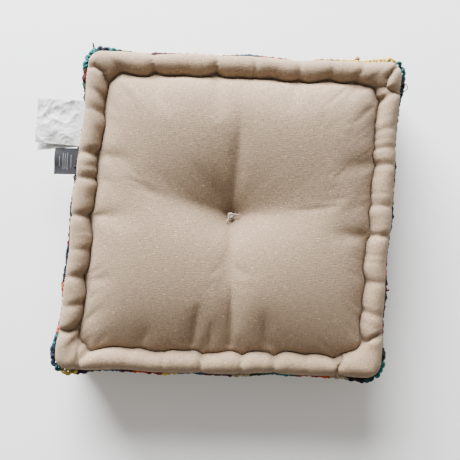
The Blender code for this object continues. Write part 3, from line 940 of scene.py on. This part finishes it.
# Colours of the row of loops beside the back's seam: each runs on to the next place, in X or Y along its side
SEAM_COLOURS = {
    "rear": ((-0.26, "turquoise"), (-0.235, "navy"), (-0.222, "turquoise"), (-0.210, "charcoal"),
             (-0.200, "green"), (-0.185, "cream"), (-0.150, "maroon"), (-0.120, "pink"), (-0.090, "cream"),
             (-0.040, "maroon"), (-0.010, "slate"), (0.020, "red"), (0.060, "cream"), (0.110, "mustard"),
             (0.150, "pale yellow"), (0.236, "teal")),
    "left": ((0.26, "turquoise"), (0.222, "red"), (0.212, "maroon"), (0.200, "green"), (0.180, "charcoal"),
             (0.160, "cream"), (0.130, "slate"), (0.090, "charcoal"), (0.040, "cream"), (0.020, "charcoal"),
             (-0.020, "maroon"), (-0.060, "navy"), (-0.100, "charcoal"), (-0.118, "orange"),
             (-0.135, "cream"), (-0.155, "red"), (-0.172, "maroon"), (-0.180, "orange"), (-0.192, "teal"),
             (-0.215, "navy"), (-0.240, "turquoise")),
    "front": ((-0.26, "teal"), (-0.240, "pale yellow"), (-0.222, "purple"), (-0.195, "charcoal"),
              (-0.180, "slate"), (-0.150, "maroon"), (-0.128, "orange"), (-0.110, "red"),
              (-0.085, "pale yellow"), (-0.060, "slate"), (-0.020, "maroon"), (0.020, "cream"),
              (0.050, "charcoal"), (0.070, "teal"), (0.098, "turquoise"), (0.112, "green"), (0.122, "red"),
              (0.160, "orange"), (0.178, "cream"), (0.205, "charcoal"), (0.232, "teal")),
    "right": ((0.26, "teal"), (0.225, "charcoal"), (0.205, "slate"), (0.180, "cream"), (0.140, "charcoal"),
              (0.100, "maroon"), (0.060, "cream"), (0.020, "navy"), (-0.020, "slate"), (-0.060, "red"),
              (-0.075, "orange"), (-0.090, "charcoal"), (-0.130, "maroon"), (-0.165, "red"),
              (-0.180, "cream"), (-0.205, "charcoal"), (-0.225, "turquoise")),
}
# How much further out the loops by the back's seam stand on each side, as shares of LOOP_LIFT
SEAM_PEEK = {"rear": 0.22, "left": 0.42, "front": 0.45, "right": 0.20}
LOOP_LIFT = 0.0042
SEAM_ROWS = 2                # rows of loops beside the back's seam that stand out
SEAM_CROWDING = 1.45         # how much closer together those loops stand
LOOP_RISE = 0.40             # a loop's height, as a share of its length


def loop_shape(segments, around, radius, rise):
    """One plump loop of yarn as points, quads and the yarn's own (length, girth) places on each quad."""
    bm = bmesh.new()
    ring = bmesh.ops.create_circle(bm, segments=around, radius=radius)["verts"]
    bmesh.ops.translate(bm, verts=ring, vec=(rise, 0, 0))
    bmesh.ops.rotate(bm, verts=ring, matrix=Matrix.Rotation(math.radians(25), 3, "Y"))
    bmesh.ops.spin(bm, geom=bm.verts[:] + bm.edges[:], cent=(0, 0, 0), axis=(0, -1, 0),
                   angle=math.radians(230), steps=segments, use_duplicate=False, use_merge=False)
    bmesh.ops.recalc_face_normals(bm, faces=bm.faces)
    bm.verts.index_update()
    points = np.array([vert.co for vert in bm.verts])
    quads = np.array([[vert.index for vert in face.verts] for face in bm.faces])
    bm.free()
    length = np.arctan2(points[:, 2], points[:, 0]) / math.pi
    girth = np.arctan2(points[:, 1], np.hypot(points[:, 0], points[:, 2]) - rise) / (2 * math.pi)
    places = np.stack([np.where(length < -0.5, length + 2, length) * 2.2, girth], axis=1)[quads]
    wraps = (places[..., 1].max(axis=1) - places[..., 1].min(axis=1)) > 0.5
    places[..., 1] = np.where(wraps[:, None] & (places[..., 1] < 0), places[..., 1] + 1, places[..., 1])
    return points, quads, places


def scatter_loops(name, shape, centres, ahead, outward, scales, colours):
    """One piece of many loops: each at its centre, lying along ahead and standing along outward."""
    points, quads, places = shape
    ahead = ahead - outward * np.sum(ahead * outward, axis=1, keepdims=True)
    ahead /= np.linalg.norm(ahead, axis=1, keepdims=True)
    across = np.cross(outward, ahead)
    axes = np.stack([ahead, across, outward], axis=1) * scales[:, :, None]
    placed = centres[:, None, :] + np.einsum("vk,nkc->nvc", points, axes)
    placed[..., 2] = np.maximum(placed[..., 2], FLOOR_Z)
    count, size = len(centres), len(points)
    faces = (quads[None] + (np.arange(count) * size)[:, None, None]).reshape(-1, 4)
    mesh = bpy.data.meshes.new(name)
    mesh.from_pydata(placed.reshape(-1, 3), [], faces.tolist())
    mesh.shade_smooth()
    layer = mesh.uv_layers.new(name="ply")
    laid = np.tile(places.reshape(1, -1, 2), (count, 1, 1))
    layer.data.foreach_set("uv", laid.astype(np.float32).ravel())
    shades = np.concatenate([np.repeat(colours, size, axis=0), np.ones((count * size, 1))], axis=1)
    attribute = mesh.attributes.new("yarn", "FLOAT_COLOR", "POINT")
    attribute.data.foreach_set("color", shades.astype(np.float32).ravel())
    mesh.materials.append(material("yarn", yarn_material))
    piece = bpy.data.objects.new(name, mesh)
    bpy.context.scene.collection.objects.link(piece)
    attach(piece, BODY)


def strand_colours(count, run, rng):
    """Colours of count loops in a row whose strand changes colour every few loops."""
    names = list(PALETTE)
    colours, left, now = [], 0, None
    for _ in range(count):
        if left <= 0:
            left, now = rng.integers(*run), PALETTE[names[rng.integers(len(names))]]
        left -= 1
        colours.append(np.array(now) * rng.uniform(0.75, 1.2))
    return colours


def seam_row_colour(side_name, place, rng):
    """Colour of the loop at this place in the row beside the back's seam."""
    runs = SEAM_COLOURS[side_name]
    forward = 1 if runs[-1][0] > runs[0][0] else -1
    passed = [colour for start, colour in runs if (place - start) * forward >= 0]
    return np.array(PALETTE[passed[-1] if passed else runs[0][1]]) * rng.uniform(0.8, 1.2)


def ground_rows(section, pitch):
    """Places of rows pitch apart on a section, with the section's outward direction at each."""
    lengths = np.concatenate([[0], np.cumsum(np.linalg.norm(np.diff(section, axis=0), axis=1))])
    count = max(int(round(lengths[-1] / pitch)), 1)
    middles = (np.arange(count) + 0.5) * lengths[-1] / count
    place = np.stack([np.interp(middles, lengths, section[:, i]) for i in range(2)], axis=1)
    ahead = np.stack([np.interp(middles + 0.001, lengths, section[:, i]) for i in range(2)], axis=1)
    behind = np.stack([np.interp(middles - 0.001, lengths, section[:, i]) for i in range(2)], axis=1)
    run = (ahead - behind) / np.linalg.norm(ahead - behind, axis=1, keepdims=True)
    return place, np.stack([run[:, 1], -run[:, 0]], axis=1)


def loops_on_side(side, section, sizes, rng, seam_rows):
    """Centres, directions ahead and outward, scales and colours of the loops of one side's rows."""
    name = SIDES[side]
    gathered = []
    places, normals = ground_rows(section, sizes.row_pitch)
    for row, ((inset, z), (out_inset, out_z)) in enumerate(zip(places, normals)):
        near_seam = row < seam_rows
        radius = float(corner_radius(np.array(inset)))
        length = 2 * (HALF - inset - radius + radius * math.pi / 4)
        count = int(length / sizes.loop_length * (SEAM_CROWDING if near_seam else 1))
        t = (np.arange(count) + 0.5 + 0.5 * (row % 2) - 0.25) / count * 2 - 1
        t = np.clip(t + rng.uniform(-0.25, 0.25, count) / count, -1, 1)
        inset_here = inset + rng.uniform(-0.0006, 0.0006, count)
        x, y, face_x, face_y, along = ring_point(side, t, inset_here)
        x, y = lean(x, y)
        centres = np.stack([x, y, z + rng.uniform(-0.0008, 0.0008, count)], axis=1)
        outward = np.stack([face_x * -out_inset, face_y * -out_inset, np.full(count, out_z)], axis=1)
        outward += rng.normal(0, 0.16, (count, 3))
        outward /= np.linalg.norm(outward, axis=1, keepdims=True)
        ahead = np.stack([-face_y, face_x, np.zeros(count)], axis=1) + rng.normal(0, 0.42, (count, 3))
        lift = np.zeros(count)
        if near_seam:
            corner = smooth_step(0.80, 0.98, np.abs(t))
            wave = waves(along, (0.5, 41, side * 2.1), (0.3, 97, side))
            lift = SEAM_PEEK[name] + 0.42 * wave * (1 - corner) + 1.15 * corner
        centres += outward * (LOOP_LIFT * lift[:, None])
        thick = rng.uniform(0.90, 1.25, count) * (1 + 0.20 * lift)
        tall = rng.uniform(0.85, 1.2, count) * (1 + 0.22 * lift)
        if near_seam:
            colours = [seam_row_colour(name, place * ALONG_SIGN[name], rng) for place in along]
        else:
            colours = strand_colours(count, (3, 10), rng)
        gathered.append((centres, ahead, outward, np.stack([thick, thick, tall], axis=1), np.array(colours)))
    return [np.concatenate(part) for part in zip(*gathered)]


def band_section():
    """(inset, z) of a band's woven ground: under the upper roll, down the side and over the lower roll."""
    upper = roll_line(BACK_ROLL_Z, GROUND_RADIUS, math.radians(-1), BAND_BEND, 24)
    lower = roll_line(FACE_ROLL_Z, GROUND_RADIUS, -BAND_BEND, math.radians(0.5), 24)
    down = np.linspace(0, 1, 14)[1:-1]
    side = upper[-1] + down[:, None] * (lower[0] - upper[-1])
    side[:, 0] -= 0.0062 * np.sin(math.pi * down)
    return np.concatenate([upper, side, lower])


def side_sweep(name, section, side, slot, *nodes):
    """A sheet of cloth carried along one side, from corner to corner."""
    bm = grid_bmesh(40, len(section) - 1)
    places = np.array([vert.co[:2] for vert in bm.verts])
    index = np.rint((places[:, 1] * 0.5 + 0.5) * (len(section) - 1)).astype(int)
    inset, z = np.array(section)[index].T
    place_verts(bm, on_ring(side, places[:, 0], inset, z))
    bmesh.ops.reverse_faces(bm, faces=bm.faces)
    return new_mesh_object(name, bm, BODY, slot, *nodes)


class CUSHION_OT_looped_bands(bpy.types.Operator):
    """Make the four side bands: a woven ground with rows of yarn loops in many colours"""
    bl_idname = "cushion.looped_bands"
    bl_label = "Looped bands"

    def execute(self, context):
        sizes = context.scene.cushion_sizes
        shape = loop_shape(7, 6, sizes.yarn_radius, sizes.loop_length * LOOP_RISE)
        section = band_section()
        for side, name in enumerate(SIDES):
            ground = side_sweep(f"band_{name}_ground", section[::3], side, "weave", f"band_{name}")
            ground.data.materials.append(material("ground", painted_shade_ground_material))
            loops = loops_on_side(side, section, sizes, np.random.default_rng(20 + side), SEAM_ROWS)
            scatter_loops(f"band_{name}_loops", shape, *loops)
        return {"FINISHED"}


class CUSHION_OT_looped_face(bpy.types.Operator):
    """Make the face: its woven ground, the loops round its roll and the rows of loops across its panel"""
    bl_idname = "cushion.looped_face"
    bl_label = "Looped face"

    def execute(self, context):
        sizes = context.scene.cushion_sizes
        section = face_section()
        ground = ring_sweep("face_ground", section[::4], "weave", "face_panel", stations=24, closed=False)
        ground.data.materials.append(material("ground", painted_shade_ground_material))
        shape = loop_shape(6, 4, sizes.yarn_radius, sizes.loop_length * LOOP_RISE)
        on_roll = section[section[:, 0] < 0.031]
        rng = np.random.default_rng(31)
        sides = [loops_on_side(side, on_roll, sizes, rng, 0) for side in range(4)]
        scatter_loops("face_roll_loops", shape, *[np.concatenate(part) for part in zip(*sides)])
        scatter_loops("face_panel_loops", shape, *self.panel_rows(section, sizes, rng))
        return {"FINISHED"}

    def panel_rows(self, section, sizes, rng):
        """Straight rows of loops across the panel, standing down from its ground."""
        reach = HALF - 0.033
        rows = int(2 * reach / (sizes.row_pitch * 1.20))
        count = int(2 * reach / (sizes.loop_length * 1.20))
        x, y = np.meshgrid(np.linspace(-reach, reach, count), np.linspace(-reach, reach, rows))
        x = x + np.where(np.arange(rows) % 2, 0.25, -0.25)[:, None] * sizes.loop_length
        x, y = (place + rng.uniform(-0.0009, 0.0009, place.shape) for place in (x, y))
        inset = HALF - panel_ring(x, y)
        by_inset = section[np.argsort(section[:, 0])]
        z = np.interp(inset, by_inset[:, 0], by_inset[:, 1])
        x, y = lean(x, y)
        keep = (HALF - inset).ravel() > 0.004
        centres = np.stack([x, y, z], axis=-1).reshape(-1, 3)[keep]
        total = len(centres)
        outward = np.array([0, 0, -1.0]) + rng.normal(0, 0.14, (total, 3))
        outward /= np.linalg.norm(outward, axis=1, keepdims=True)
        ahead = np.array([1.0, 0, 0]) + rng.normal(0, 0.28, (total, 3))
        thick = rng.uniform(0.9, 1.2, total)
        scales = np.stack([thick, thick, rng.uniform(0.85, 1.1, total)], axis=1)
        colours = np.array([colour for _ in range(rows) for colour in strand_colours(count, (4, 14), rng)])
        return centres, ahead, outward, scales, colours[keep]


# ---------------------------------------------------------------- stitches, seam and tuft

def thread(name, points, radius, closed, finish, slot, *nodes):
    """A round thread through the points, as a curve on the cushion."""
    curve = bpy.data.curves.new(name, "CURVE")
    curve.dimensions = "3D"
    curve.bevel_depth = radius
    curve.bevel_resolution = 1
    curve.use_fill_caps = not closed
    spline = curve.splines.new("POLY")
    spline.points.add(len(points) - 1)
    for knot, point in zip(spline.points, points):
        knot.co = (*point, 1)
    spline.use_cyclic_u = closed
    spline.use_smooth = True
    curve.materials.append(finish)
    piece = bpy.data.objects.new(name, curve)
    bpy.context.scene.collection.objects.link(piece)
    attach(piece, BODY)
    if nodes:
        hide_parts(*nodes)
    return piece


def all_round(count):
    """Side and place along it for count points evenly spread over each of the four sides."""
    return np.repeat(np.arange(4), count), np.tile((np.arange(count) + 0.5) / count * 2 - 1, 4)


class CUSHION_OT_stitching(bpy.types.Operator):
    """Make the four rings of mattress stitches and the two overlocked seams"""
    bl_idname = "cushion.stitching"
    bl_label = "Stitching"

    def execute(self, context):
        sizes, colours = context.scene.cushion_sizes, context.scene.cushion_colours
        twine = material("twine", thread_material, "cotton_twine", colours.twine)
        seam = material("seam", thread_material, "overlock_thread", colours.seam_thread)
        side, t = all_round(150)
        step = np.sin(np.arange(len(side)) * math.pi / 3)
        bites = bite_at(side, t, cloth_rows(sizes))
        inset = GROOVE_INSET - GROOVE_SHARE * sizes.bite * bites + groove_wander(side, t)
        line = on_ring(side, t, inset, GROOVE_Z + 0.0006 + 0.0008 * step)
        thread("back_roll_twine", line, 0.0006, True, twine, "twine", "back_roll_stitch")
        for name, roll_z, bend, node in (
                ("band_upper_twine", BACK_ROLL_Z, BAND_BEND + 0.10, "band_upper_stitch"),
                ("band_lower_twine", FACE_ROLL_Z, -BAND_BEND - 0.10, "band_lower_stitch"),
                ("face_roll_twine", FACE_ROLL_Z, FACE_GROOVE_ANGLE + 0.06, "face_roll_stitch")):
            reach = GROUND_RADIUS + 0.0022 + 0.0010 * step
            line = on_ring(side, t, ROLL_RADIUS - reach * math.cos(bend), roll_z + reach * math.sin(bend))
            thread(name, line, 0.0008, True, twine, "twine", node)
        side, t = all_round(280)
        zigzag = np.where(np.arange(len(side)) % 2, math.radians(3), math.radians(-9))
        for name, roll_z, proud, node in (("back_overlock", BACK_ROLL_Z, 0.0004, "back_seam_thread"),
                                          ("face_overlock", FACE_ROLL_Z, 0.0010, "face_seam_thread")):
            radius = ROLL_RADIUS + proud
            line = on_ring(side, t, ROLL_RADIUS - radius * np.cos(zigzag), roll_z + radius * np.sin(zigzag))
            thread(name, line, 0.00035, True, seam, "seam_thread", node)
        return {"FINISHED"}


def two_ply(points, pitch, offset, phase):
    """One strand of a two-ply twine laid round the line through the points."""
    points = np.array(points)
    ahead = np.gradient(points, axis=0)
    ahead /= np.linalg.norm(ahead, axis=1, keepdims=True)
    aside = np.cross(ahead, (0.31, 0.17, 0.93))
    aside /= np.linalg.norm(aside, axis=1, keepdims=True)
    above = np.cross(ahead, aside)
    run = np.concatenate([[0], np.cumsum(np.linalg.norm(np.diff(points, axis=0), axis=1))])
    turn = (run / pitch * 2 * math.pi + phase)[:, None]
    return points + offset * (np.cos(turn) * aside + np.sin(turn) * above)


KNOT_ENDS = (  # the two loose ends of a knot: points from its middle, with Z away from the cushion
    ((0.003, 0.001, 0.001), (0.007, 0.0025, 0.002), (0.010, 0.0010, 0.0045), (0.0135, 0.0025, 0.0060)),
    ((-0.002, -0.002, 0.0015), (-0.004, -0.005, 0.003), (-0.0045, -0.008, 0.0045), (-0.007, -0.010, 0.007)),
)
KNOT_MIDDLE = 0.0028         # from the knot's inner end to its middle


class CUSHION_OT_tuft(bpy.types.Operator):
    """Make the knots at both ends of the tuft's cord, with their loose ends"""
    bl_idname = "cushion.tuft"
    bl_label = "Tuft"

    def execute(self, context):
        finish = material("twine", thread_material, "cotton_twine", context.scene.cushion_colours.twine)
        self.add_knot("back_knot", BACK_KNOT[0][2] + KNOT_MIDDLE, 1, finish, "back_tuft_knot")
        self.add_knot("face_knot", FACE_KNOT[1][2] - KNOT_MIDDLE, -1, finish, "face_tuft_knot")
        cord = frame["nodes"]["tuft_cord"]
        cord.data.materials.clear()
        cord.data.materials.append(finish)
        return {"FINISHED"}

    def add_knot(self, name, z, up, finish, node):
        """Makes a trefoil knot and its two loose ends. up is 1 on the back and -1 on the face."""
        turn = np.linspace(0, 2 * math.pi, 73)[:-1]
        reach = 0.0034 + 0.0013 * np.cos(3 * turn)
        line = np.stack([reach * np.cos(2 * turn), reach * np.sin(2 * turn) * 0.8,
                         z + up * (0.0006 + 0.0014 * np.sin(3 * turn))], axis=1)
        thread(name, line, 0.0013, True, finish, "twine", node)
        for index, end in enumerate(KNOT_ENDS):
            middle = [Vector((x, y, z + up * rise)) for x, y, rise in end]
            line = [middle[i].lerp(middle[i + 1], k / 5) for i in range(3) for k in range(5)] + [middle[3]]
            for ply in range(2):
                strand = two_ply(line, 0.004, 0.00045, ply * math.pi)
                thread(f"{name}_end_{index}_{ply}", strand, 0.0005, False, finish, "twine")


# ---------------------------------------------------------------- labels

def crumple(x, y, seed, size):
    """Sharp creases and soft waves in a thin stiff sheet, about -size to size."""
    points = np.stack([x, y, np.full_like(x, seed * 0.1)], axis=1)
    soft = lumps(points, 26, seed)
    creases = 1 - 2.2 * np.abs(lumps(points, 48, seed + 3))
    fine = 1 - 2.2 * np.abs(lumps(points, 105, seed + 5))
    return size * (0.9 * soft + 0.45 * creases + 0.18 * fine)


LABEL_CELL = 0.0011          # size of a label's cloth cells


def label_sheet(name, hinge, start_x, size, shape, finish, slot, node):
    """A sheet from start_x out along -X. shape lifts and shifts each place (out, across) of it."""
    length, width = size
    columns, rows = int(length / LABEL_CELL), int(width / LABEL_CELL)
    bm = grid_bmesh(columns, rows)
    flat = np.array([vert.co[:2] for vert in bm.verts])
    out, across = (1 - flat[:, 0]) / 2 * length, flat[:, 1] / 2 * width
    x, y, z = shape(out, across)
    place_verts(bm, np.stack([start_x - x, hinge.y + y, hinge.z + z], axis=1))
    lay_out_cloth(bm, np.stack([out, across], axis=1))
    piece = new_mesh_object(name, bm, None, slot, node)
    piece.data.materials.append(finish)
    return piece


def seam_x(y):
    """Where a label starts: just inside the left seam at this place along it."""
    return float(lean(np.array([-HALF]), np.array([y]))[0][0]) + 0.002


def bend_at_seam(piece):
    """Bakes a label's placement into its mesh, with its root in the seam."""
    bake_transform(piece)


LOOSE_ENDS = (  # a yarn's colour, its thickness, then the four points that its curve follows
    ("navy", 1.0, ((-0.240, 0.246, 0.022), (-0.243, 0.254, 0.026), (-0.247, 0.257, 0.030),
                   (-0.246, 0.262, 0.032))),
    ("turquoise", 1.7, ((-0.228, 0.246, 0.020), (-0.240, 0.257, 0.024), (-0.256, 0.257, 0.024),
                        (-0.258, 0.226, 0.020))),
    ("navy", 1.4, ((-0.222, 0.250, 0.024), (-0.234, 0.258, 0.026), (-0.246, 0.257, 0.026),
                   (-0.252, 0.246, 0.024))),
    ("mustard", 2.2, ((0.164, 0.248, 0.022), (0.172, 0.252, 0.026), (0.177, 0.254, 0.028),
                      (0.180, 0.258, 0.029))),
    ("pale yellow", 1.9, ((0.172, 0.249, 0.022), (0.195, 0.256, 0.024), (0.220, 0.258, 0.024),
                          (0.243, 0.250, 0.022))),
    ("charcoal", 0.6, ((0.252, 0.222, 0.022), (0.268, 0.222, 0.024), (0.266, 0.208, 0.026),
                       (0.252, 0.204, 0.024))),
    ("pale yellow", 1.2, ((-0.246, -0.246, 0.016), (-0.250, -0.264, 0.016), (-0.236, -0.268, 0.014),
                          (-0.214, -0.252, 0.014))),
    ("red", 1.0, ((0.244, -0.110, 0.020), (0.254, -0.112, 0.023), (0.257, -0.114, 0.026),
                  (0.258, -0.110, 0.026))),
    ("charcoal", 0.8, ((0.215, -0.246, 0.018), (0.210, -0.258, 0.016), (0.200, -0.258, 0.013),
                       (0.194, -0.250, 0.012))),
)


class CUSHION_OT_loose_ends(bpy.types.Operator):
    """Make the few yarn ends that have worked loose at the corners"""
    bl_idname = "cushion.loose_ends"
    bl_label = "Loose yarn ends"

    def execute(self, context):
        steps = np.linspace(0, 1, 13)[:, None]
        for index, (colour, thickness, line) in enumerate(LOOSE_ENDS):
            places = np.array(line)
            places[:, 0], places[:, 1] = lean(places[:, 0], places[:, 1])
            a, b, c, d = places
            smooth = ((1 - steps) ** 3 * a + 3 * (1 - steps) ** 2 * steps * b
                      + 3 * (1 - steps) * steps ** 2 * c + steps ** 3 * d)
            yarn_name = f"wool_{colour.replace(' ', '_')}"
            finish = material(f"yarn_{colour}", thread_material, yarn_name, PALETTE[colour], 1.0)
            for ply in range(2):
                strand = two_ply(smooth, 0.008, 0.0008 * thickness, ply * math.pi)
                thread(f"loose_end_{index}_{ply}", strand, 0.0009 * thickness, False, finish, "weave")
        return {"FINISHED"}


class CUSHION_OT_care_label(bpy.types.Operator):
    """Make the crumpled white label: two blank leaves sewn into the seam"""
    bl_idname = "cushion.care_label"
    bl_label = "Care label"

    def execute(self, context):
        hinge = HINGES["care_label"]
        low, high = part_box("care_label_upper_leaf")
        start = seam_x(hinge.y)
        length, width = start - low[0], high[1] - low[1]
        finish = material("spunbond", spunbond_material)

        def upper(out, across):
            share = out / length
            z = 0.0010 + crumple(out, across, 3, 0.0030) * smooth_step(0, 0.3, share) - 0.004 * share ** 2
            return out * 0.985, across * (1 - 0.03 * share) + 0.002 * share, z

        def lower(out, across):
            share = out / length
            z = -0.0012 + crumple(out, across, 8, 0.0018) * smooth_step(0, 0.3, share) - 0.010 * share ** 1.5
            return out * 0.97, across * (1 - 0.02 * share) - 0.010 * share, z

        for name, shape, node in (("care_upper_leaf", upper, "care_label_upper_leaf"),
                                  ("care_lower_leaf", lower, "care_label_lower_leaf")):
            leaf = label_sheet(name, hinge, start, (length, width), shape, finish, "spunbond", node)
            bend_at_seam(leaf)
        return {"FINISHED"}


class CUSHION_OT_brand_label(bpy.types.Operator):
    """Make the black ribbon label, with plain bars in place of words"""
    bl_idname = "cushion.brand_label"
    bl_label = "Ribbon label"

    def execute(self, context):
        hinge = HINGES["brand_label"]
        low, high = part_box("brand_label")
        start = seam_x(hinge.y)
        length, width = start - low[0], high[1] - low[1]

        def shape(out, across):
            share = out / length
            curl = 0.0015 * np.sin(across / width * math.pi * 2 + 0.6) * share
            return out * 0.99, across - 0.0015 * share, curl - 0.003 * share ** 2

        finish = material("ribbon", ribbon_material)
        ribbon = label_sheet("ribbon_label", hinge, start, (length, width), shape, finish, "ribbon",
                             "brand_label")
        bend_at_seam(ribbon)
        return {"FINISHED"}


# ---------------------------------------------------------------- the stage

HALF_ANGLE = math.radians(24.5)  # of the camera's view
HALF_VIEW = 0.3664           # half the width that the camera takes in at the height of the back's seam
SENSOR = 36


class CUSHION_OT_stage(bpy.types.Operator):
    """Make the pale floor, the soft window light and the camera straight above"""
    bl_idname = "cushion.stage"
    bl_label = "Stage"

    def execute(self, context):
        scene = context.scene
        bm = grid_bmesh(1, 1)
        bmesh.ops.scale(bm, verts=bm.verts, vec=(6, 6, 1))
        bmesh.ops.translate(bm, verts=bm.verts, vec=(0, 0, FLOOR_Z - 0.0002))
        mesh = bpy.data.meshes.new("floor")
        bm.to_mesh(mesh)
        bm.free()
        floor = bpy.data.objects.new("floor", mesh)
        mesh.materials.append(material("floor", floor_material))
        scene.collection.objects.link(floor)

        world = bpy.data.worlds.new("soft_room")
        world.use_nodes = True
        background = world.node_tree.nodes["Background"]
        background.inputs["Color"].default_value = (1.0, 0.95, 0.87, 1)
        background.inputs["Strength"].default_value = 0.50
        scene.world = world
        self.add_window(scene, "window", (-1.35, 3.90, 1.72), (3.4, 2.1), 1080)
        self.add_window(scene, "low_window", (-1.60, 4.00, 0.85), (3.2, 0.9), 860)

        camera = bpy.data.cameras.new("camera")
        camera.sensor_width = camera.sensor_height = SENSOR
        camera.lens = SENSOR / (2 * math.tan(HALF_ANGLE))
        holder = bpy.data.objects.new("camera", camera)
        holder.location = (0.0, -0.0235, BACK_ROLL_Z + HALF_VIEW / math.tan(HALF_ANGLE))
        holder.rotation_euler = (0, 0, math.radians(3.7))
        scene.collection.objects.link(holder)
        scene.camera = holder
        return {"FINISHED"}

    def add_window(self, scene, name, place, size, power):
        """Adds a soft light that shines from a window at the place on the middle of the cushion."""
        light = bpy.data.lights.new(name, "AREA")
        light.shape = "RECTANGLE"
        light.size, light.size_y = size
        light.energy = power
        light.color = (0.97, 0.985, 1.0)
        holder = bpy.data.objects.new(name, light)
        holder.location = place
        holder.rotation_euler = (Vector((0, 0, 0)) - Vector(place)).to_track_quat("-Z", "Y").to_euler()
        scene.collection.objects.link(holder)


# ---------------------------------------------------------------- running it

class CUSHION_PT_sidebar(bpy.types.Panel):
    """Lists the pieces of the cushion and the values that shape them"""
    bl_label = "Floor cushion"
    bl_idname = "CUSHION_PT_sidebar"
    bl_space_type = "VIEW_3D"
    bl_region_type = "UI"
    bl_category = "Cushion"

    def draw(self, context):
        for group in (context.scene.cushion_sizes, context.scene.cushion_colours):
            for name in group.bl_rna.properties.keys():
                if name not in ("rna_type", "name"):
                    self.layout.prop(group, name)
        for each in PIECES:
            self.layout.operator(each.bl_idname)


PIECES = (CUSHION_OT_stage, CUSHION_OT_canvas_back, CUSHION_OT_filling, CUSHION_OT_looped_bands,
          CUSHION_OT_looped_face, CUSHION_OT_stitching, CUSHION_OT_tuft, CUSHION_OT_loose_ends,
          CUSHION_OT_care_label, CUSHION_OT_brand_label)
CLASSES = (CushionSizes, CushionColours, *PIECES, CUSHION_PT_sidebar)


def register():
    for each in CLASSES:
        bpy.utils.register_class(each)
    bpy.types.Scene.cushion_sizes = PointerProperty(type=CushionSizes)
    bpy.types.Scene.cushion_colours = PointerProperty(type=CushionColours)


def unregister():
    del bpy.types.Scene.cushion_sizes
    del bpy.types.Scene.cushion_colours
    for each in reversed(CLASSES):
        bpy.utils.unregister_class(each)


def main():
    register()
    bpy.ops.cushion.stage()
    bpy.ops.cushion.canvas_back()
    bpy.ops.cushion.filling()
    bpy.ops.cushion.looped_bands()
    bpy.ops.cushion.looped_face()
    bpy.ops.cushion.stitching()
    bpy.ops.cushion.tuft()
    bpy.ops.cushion.loose_ends()
    bpy.ops.cushion.care_label()
    bpy.ops.cushion.brand_label()


if __name__ == "__main__":
    main()
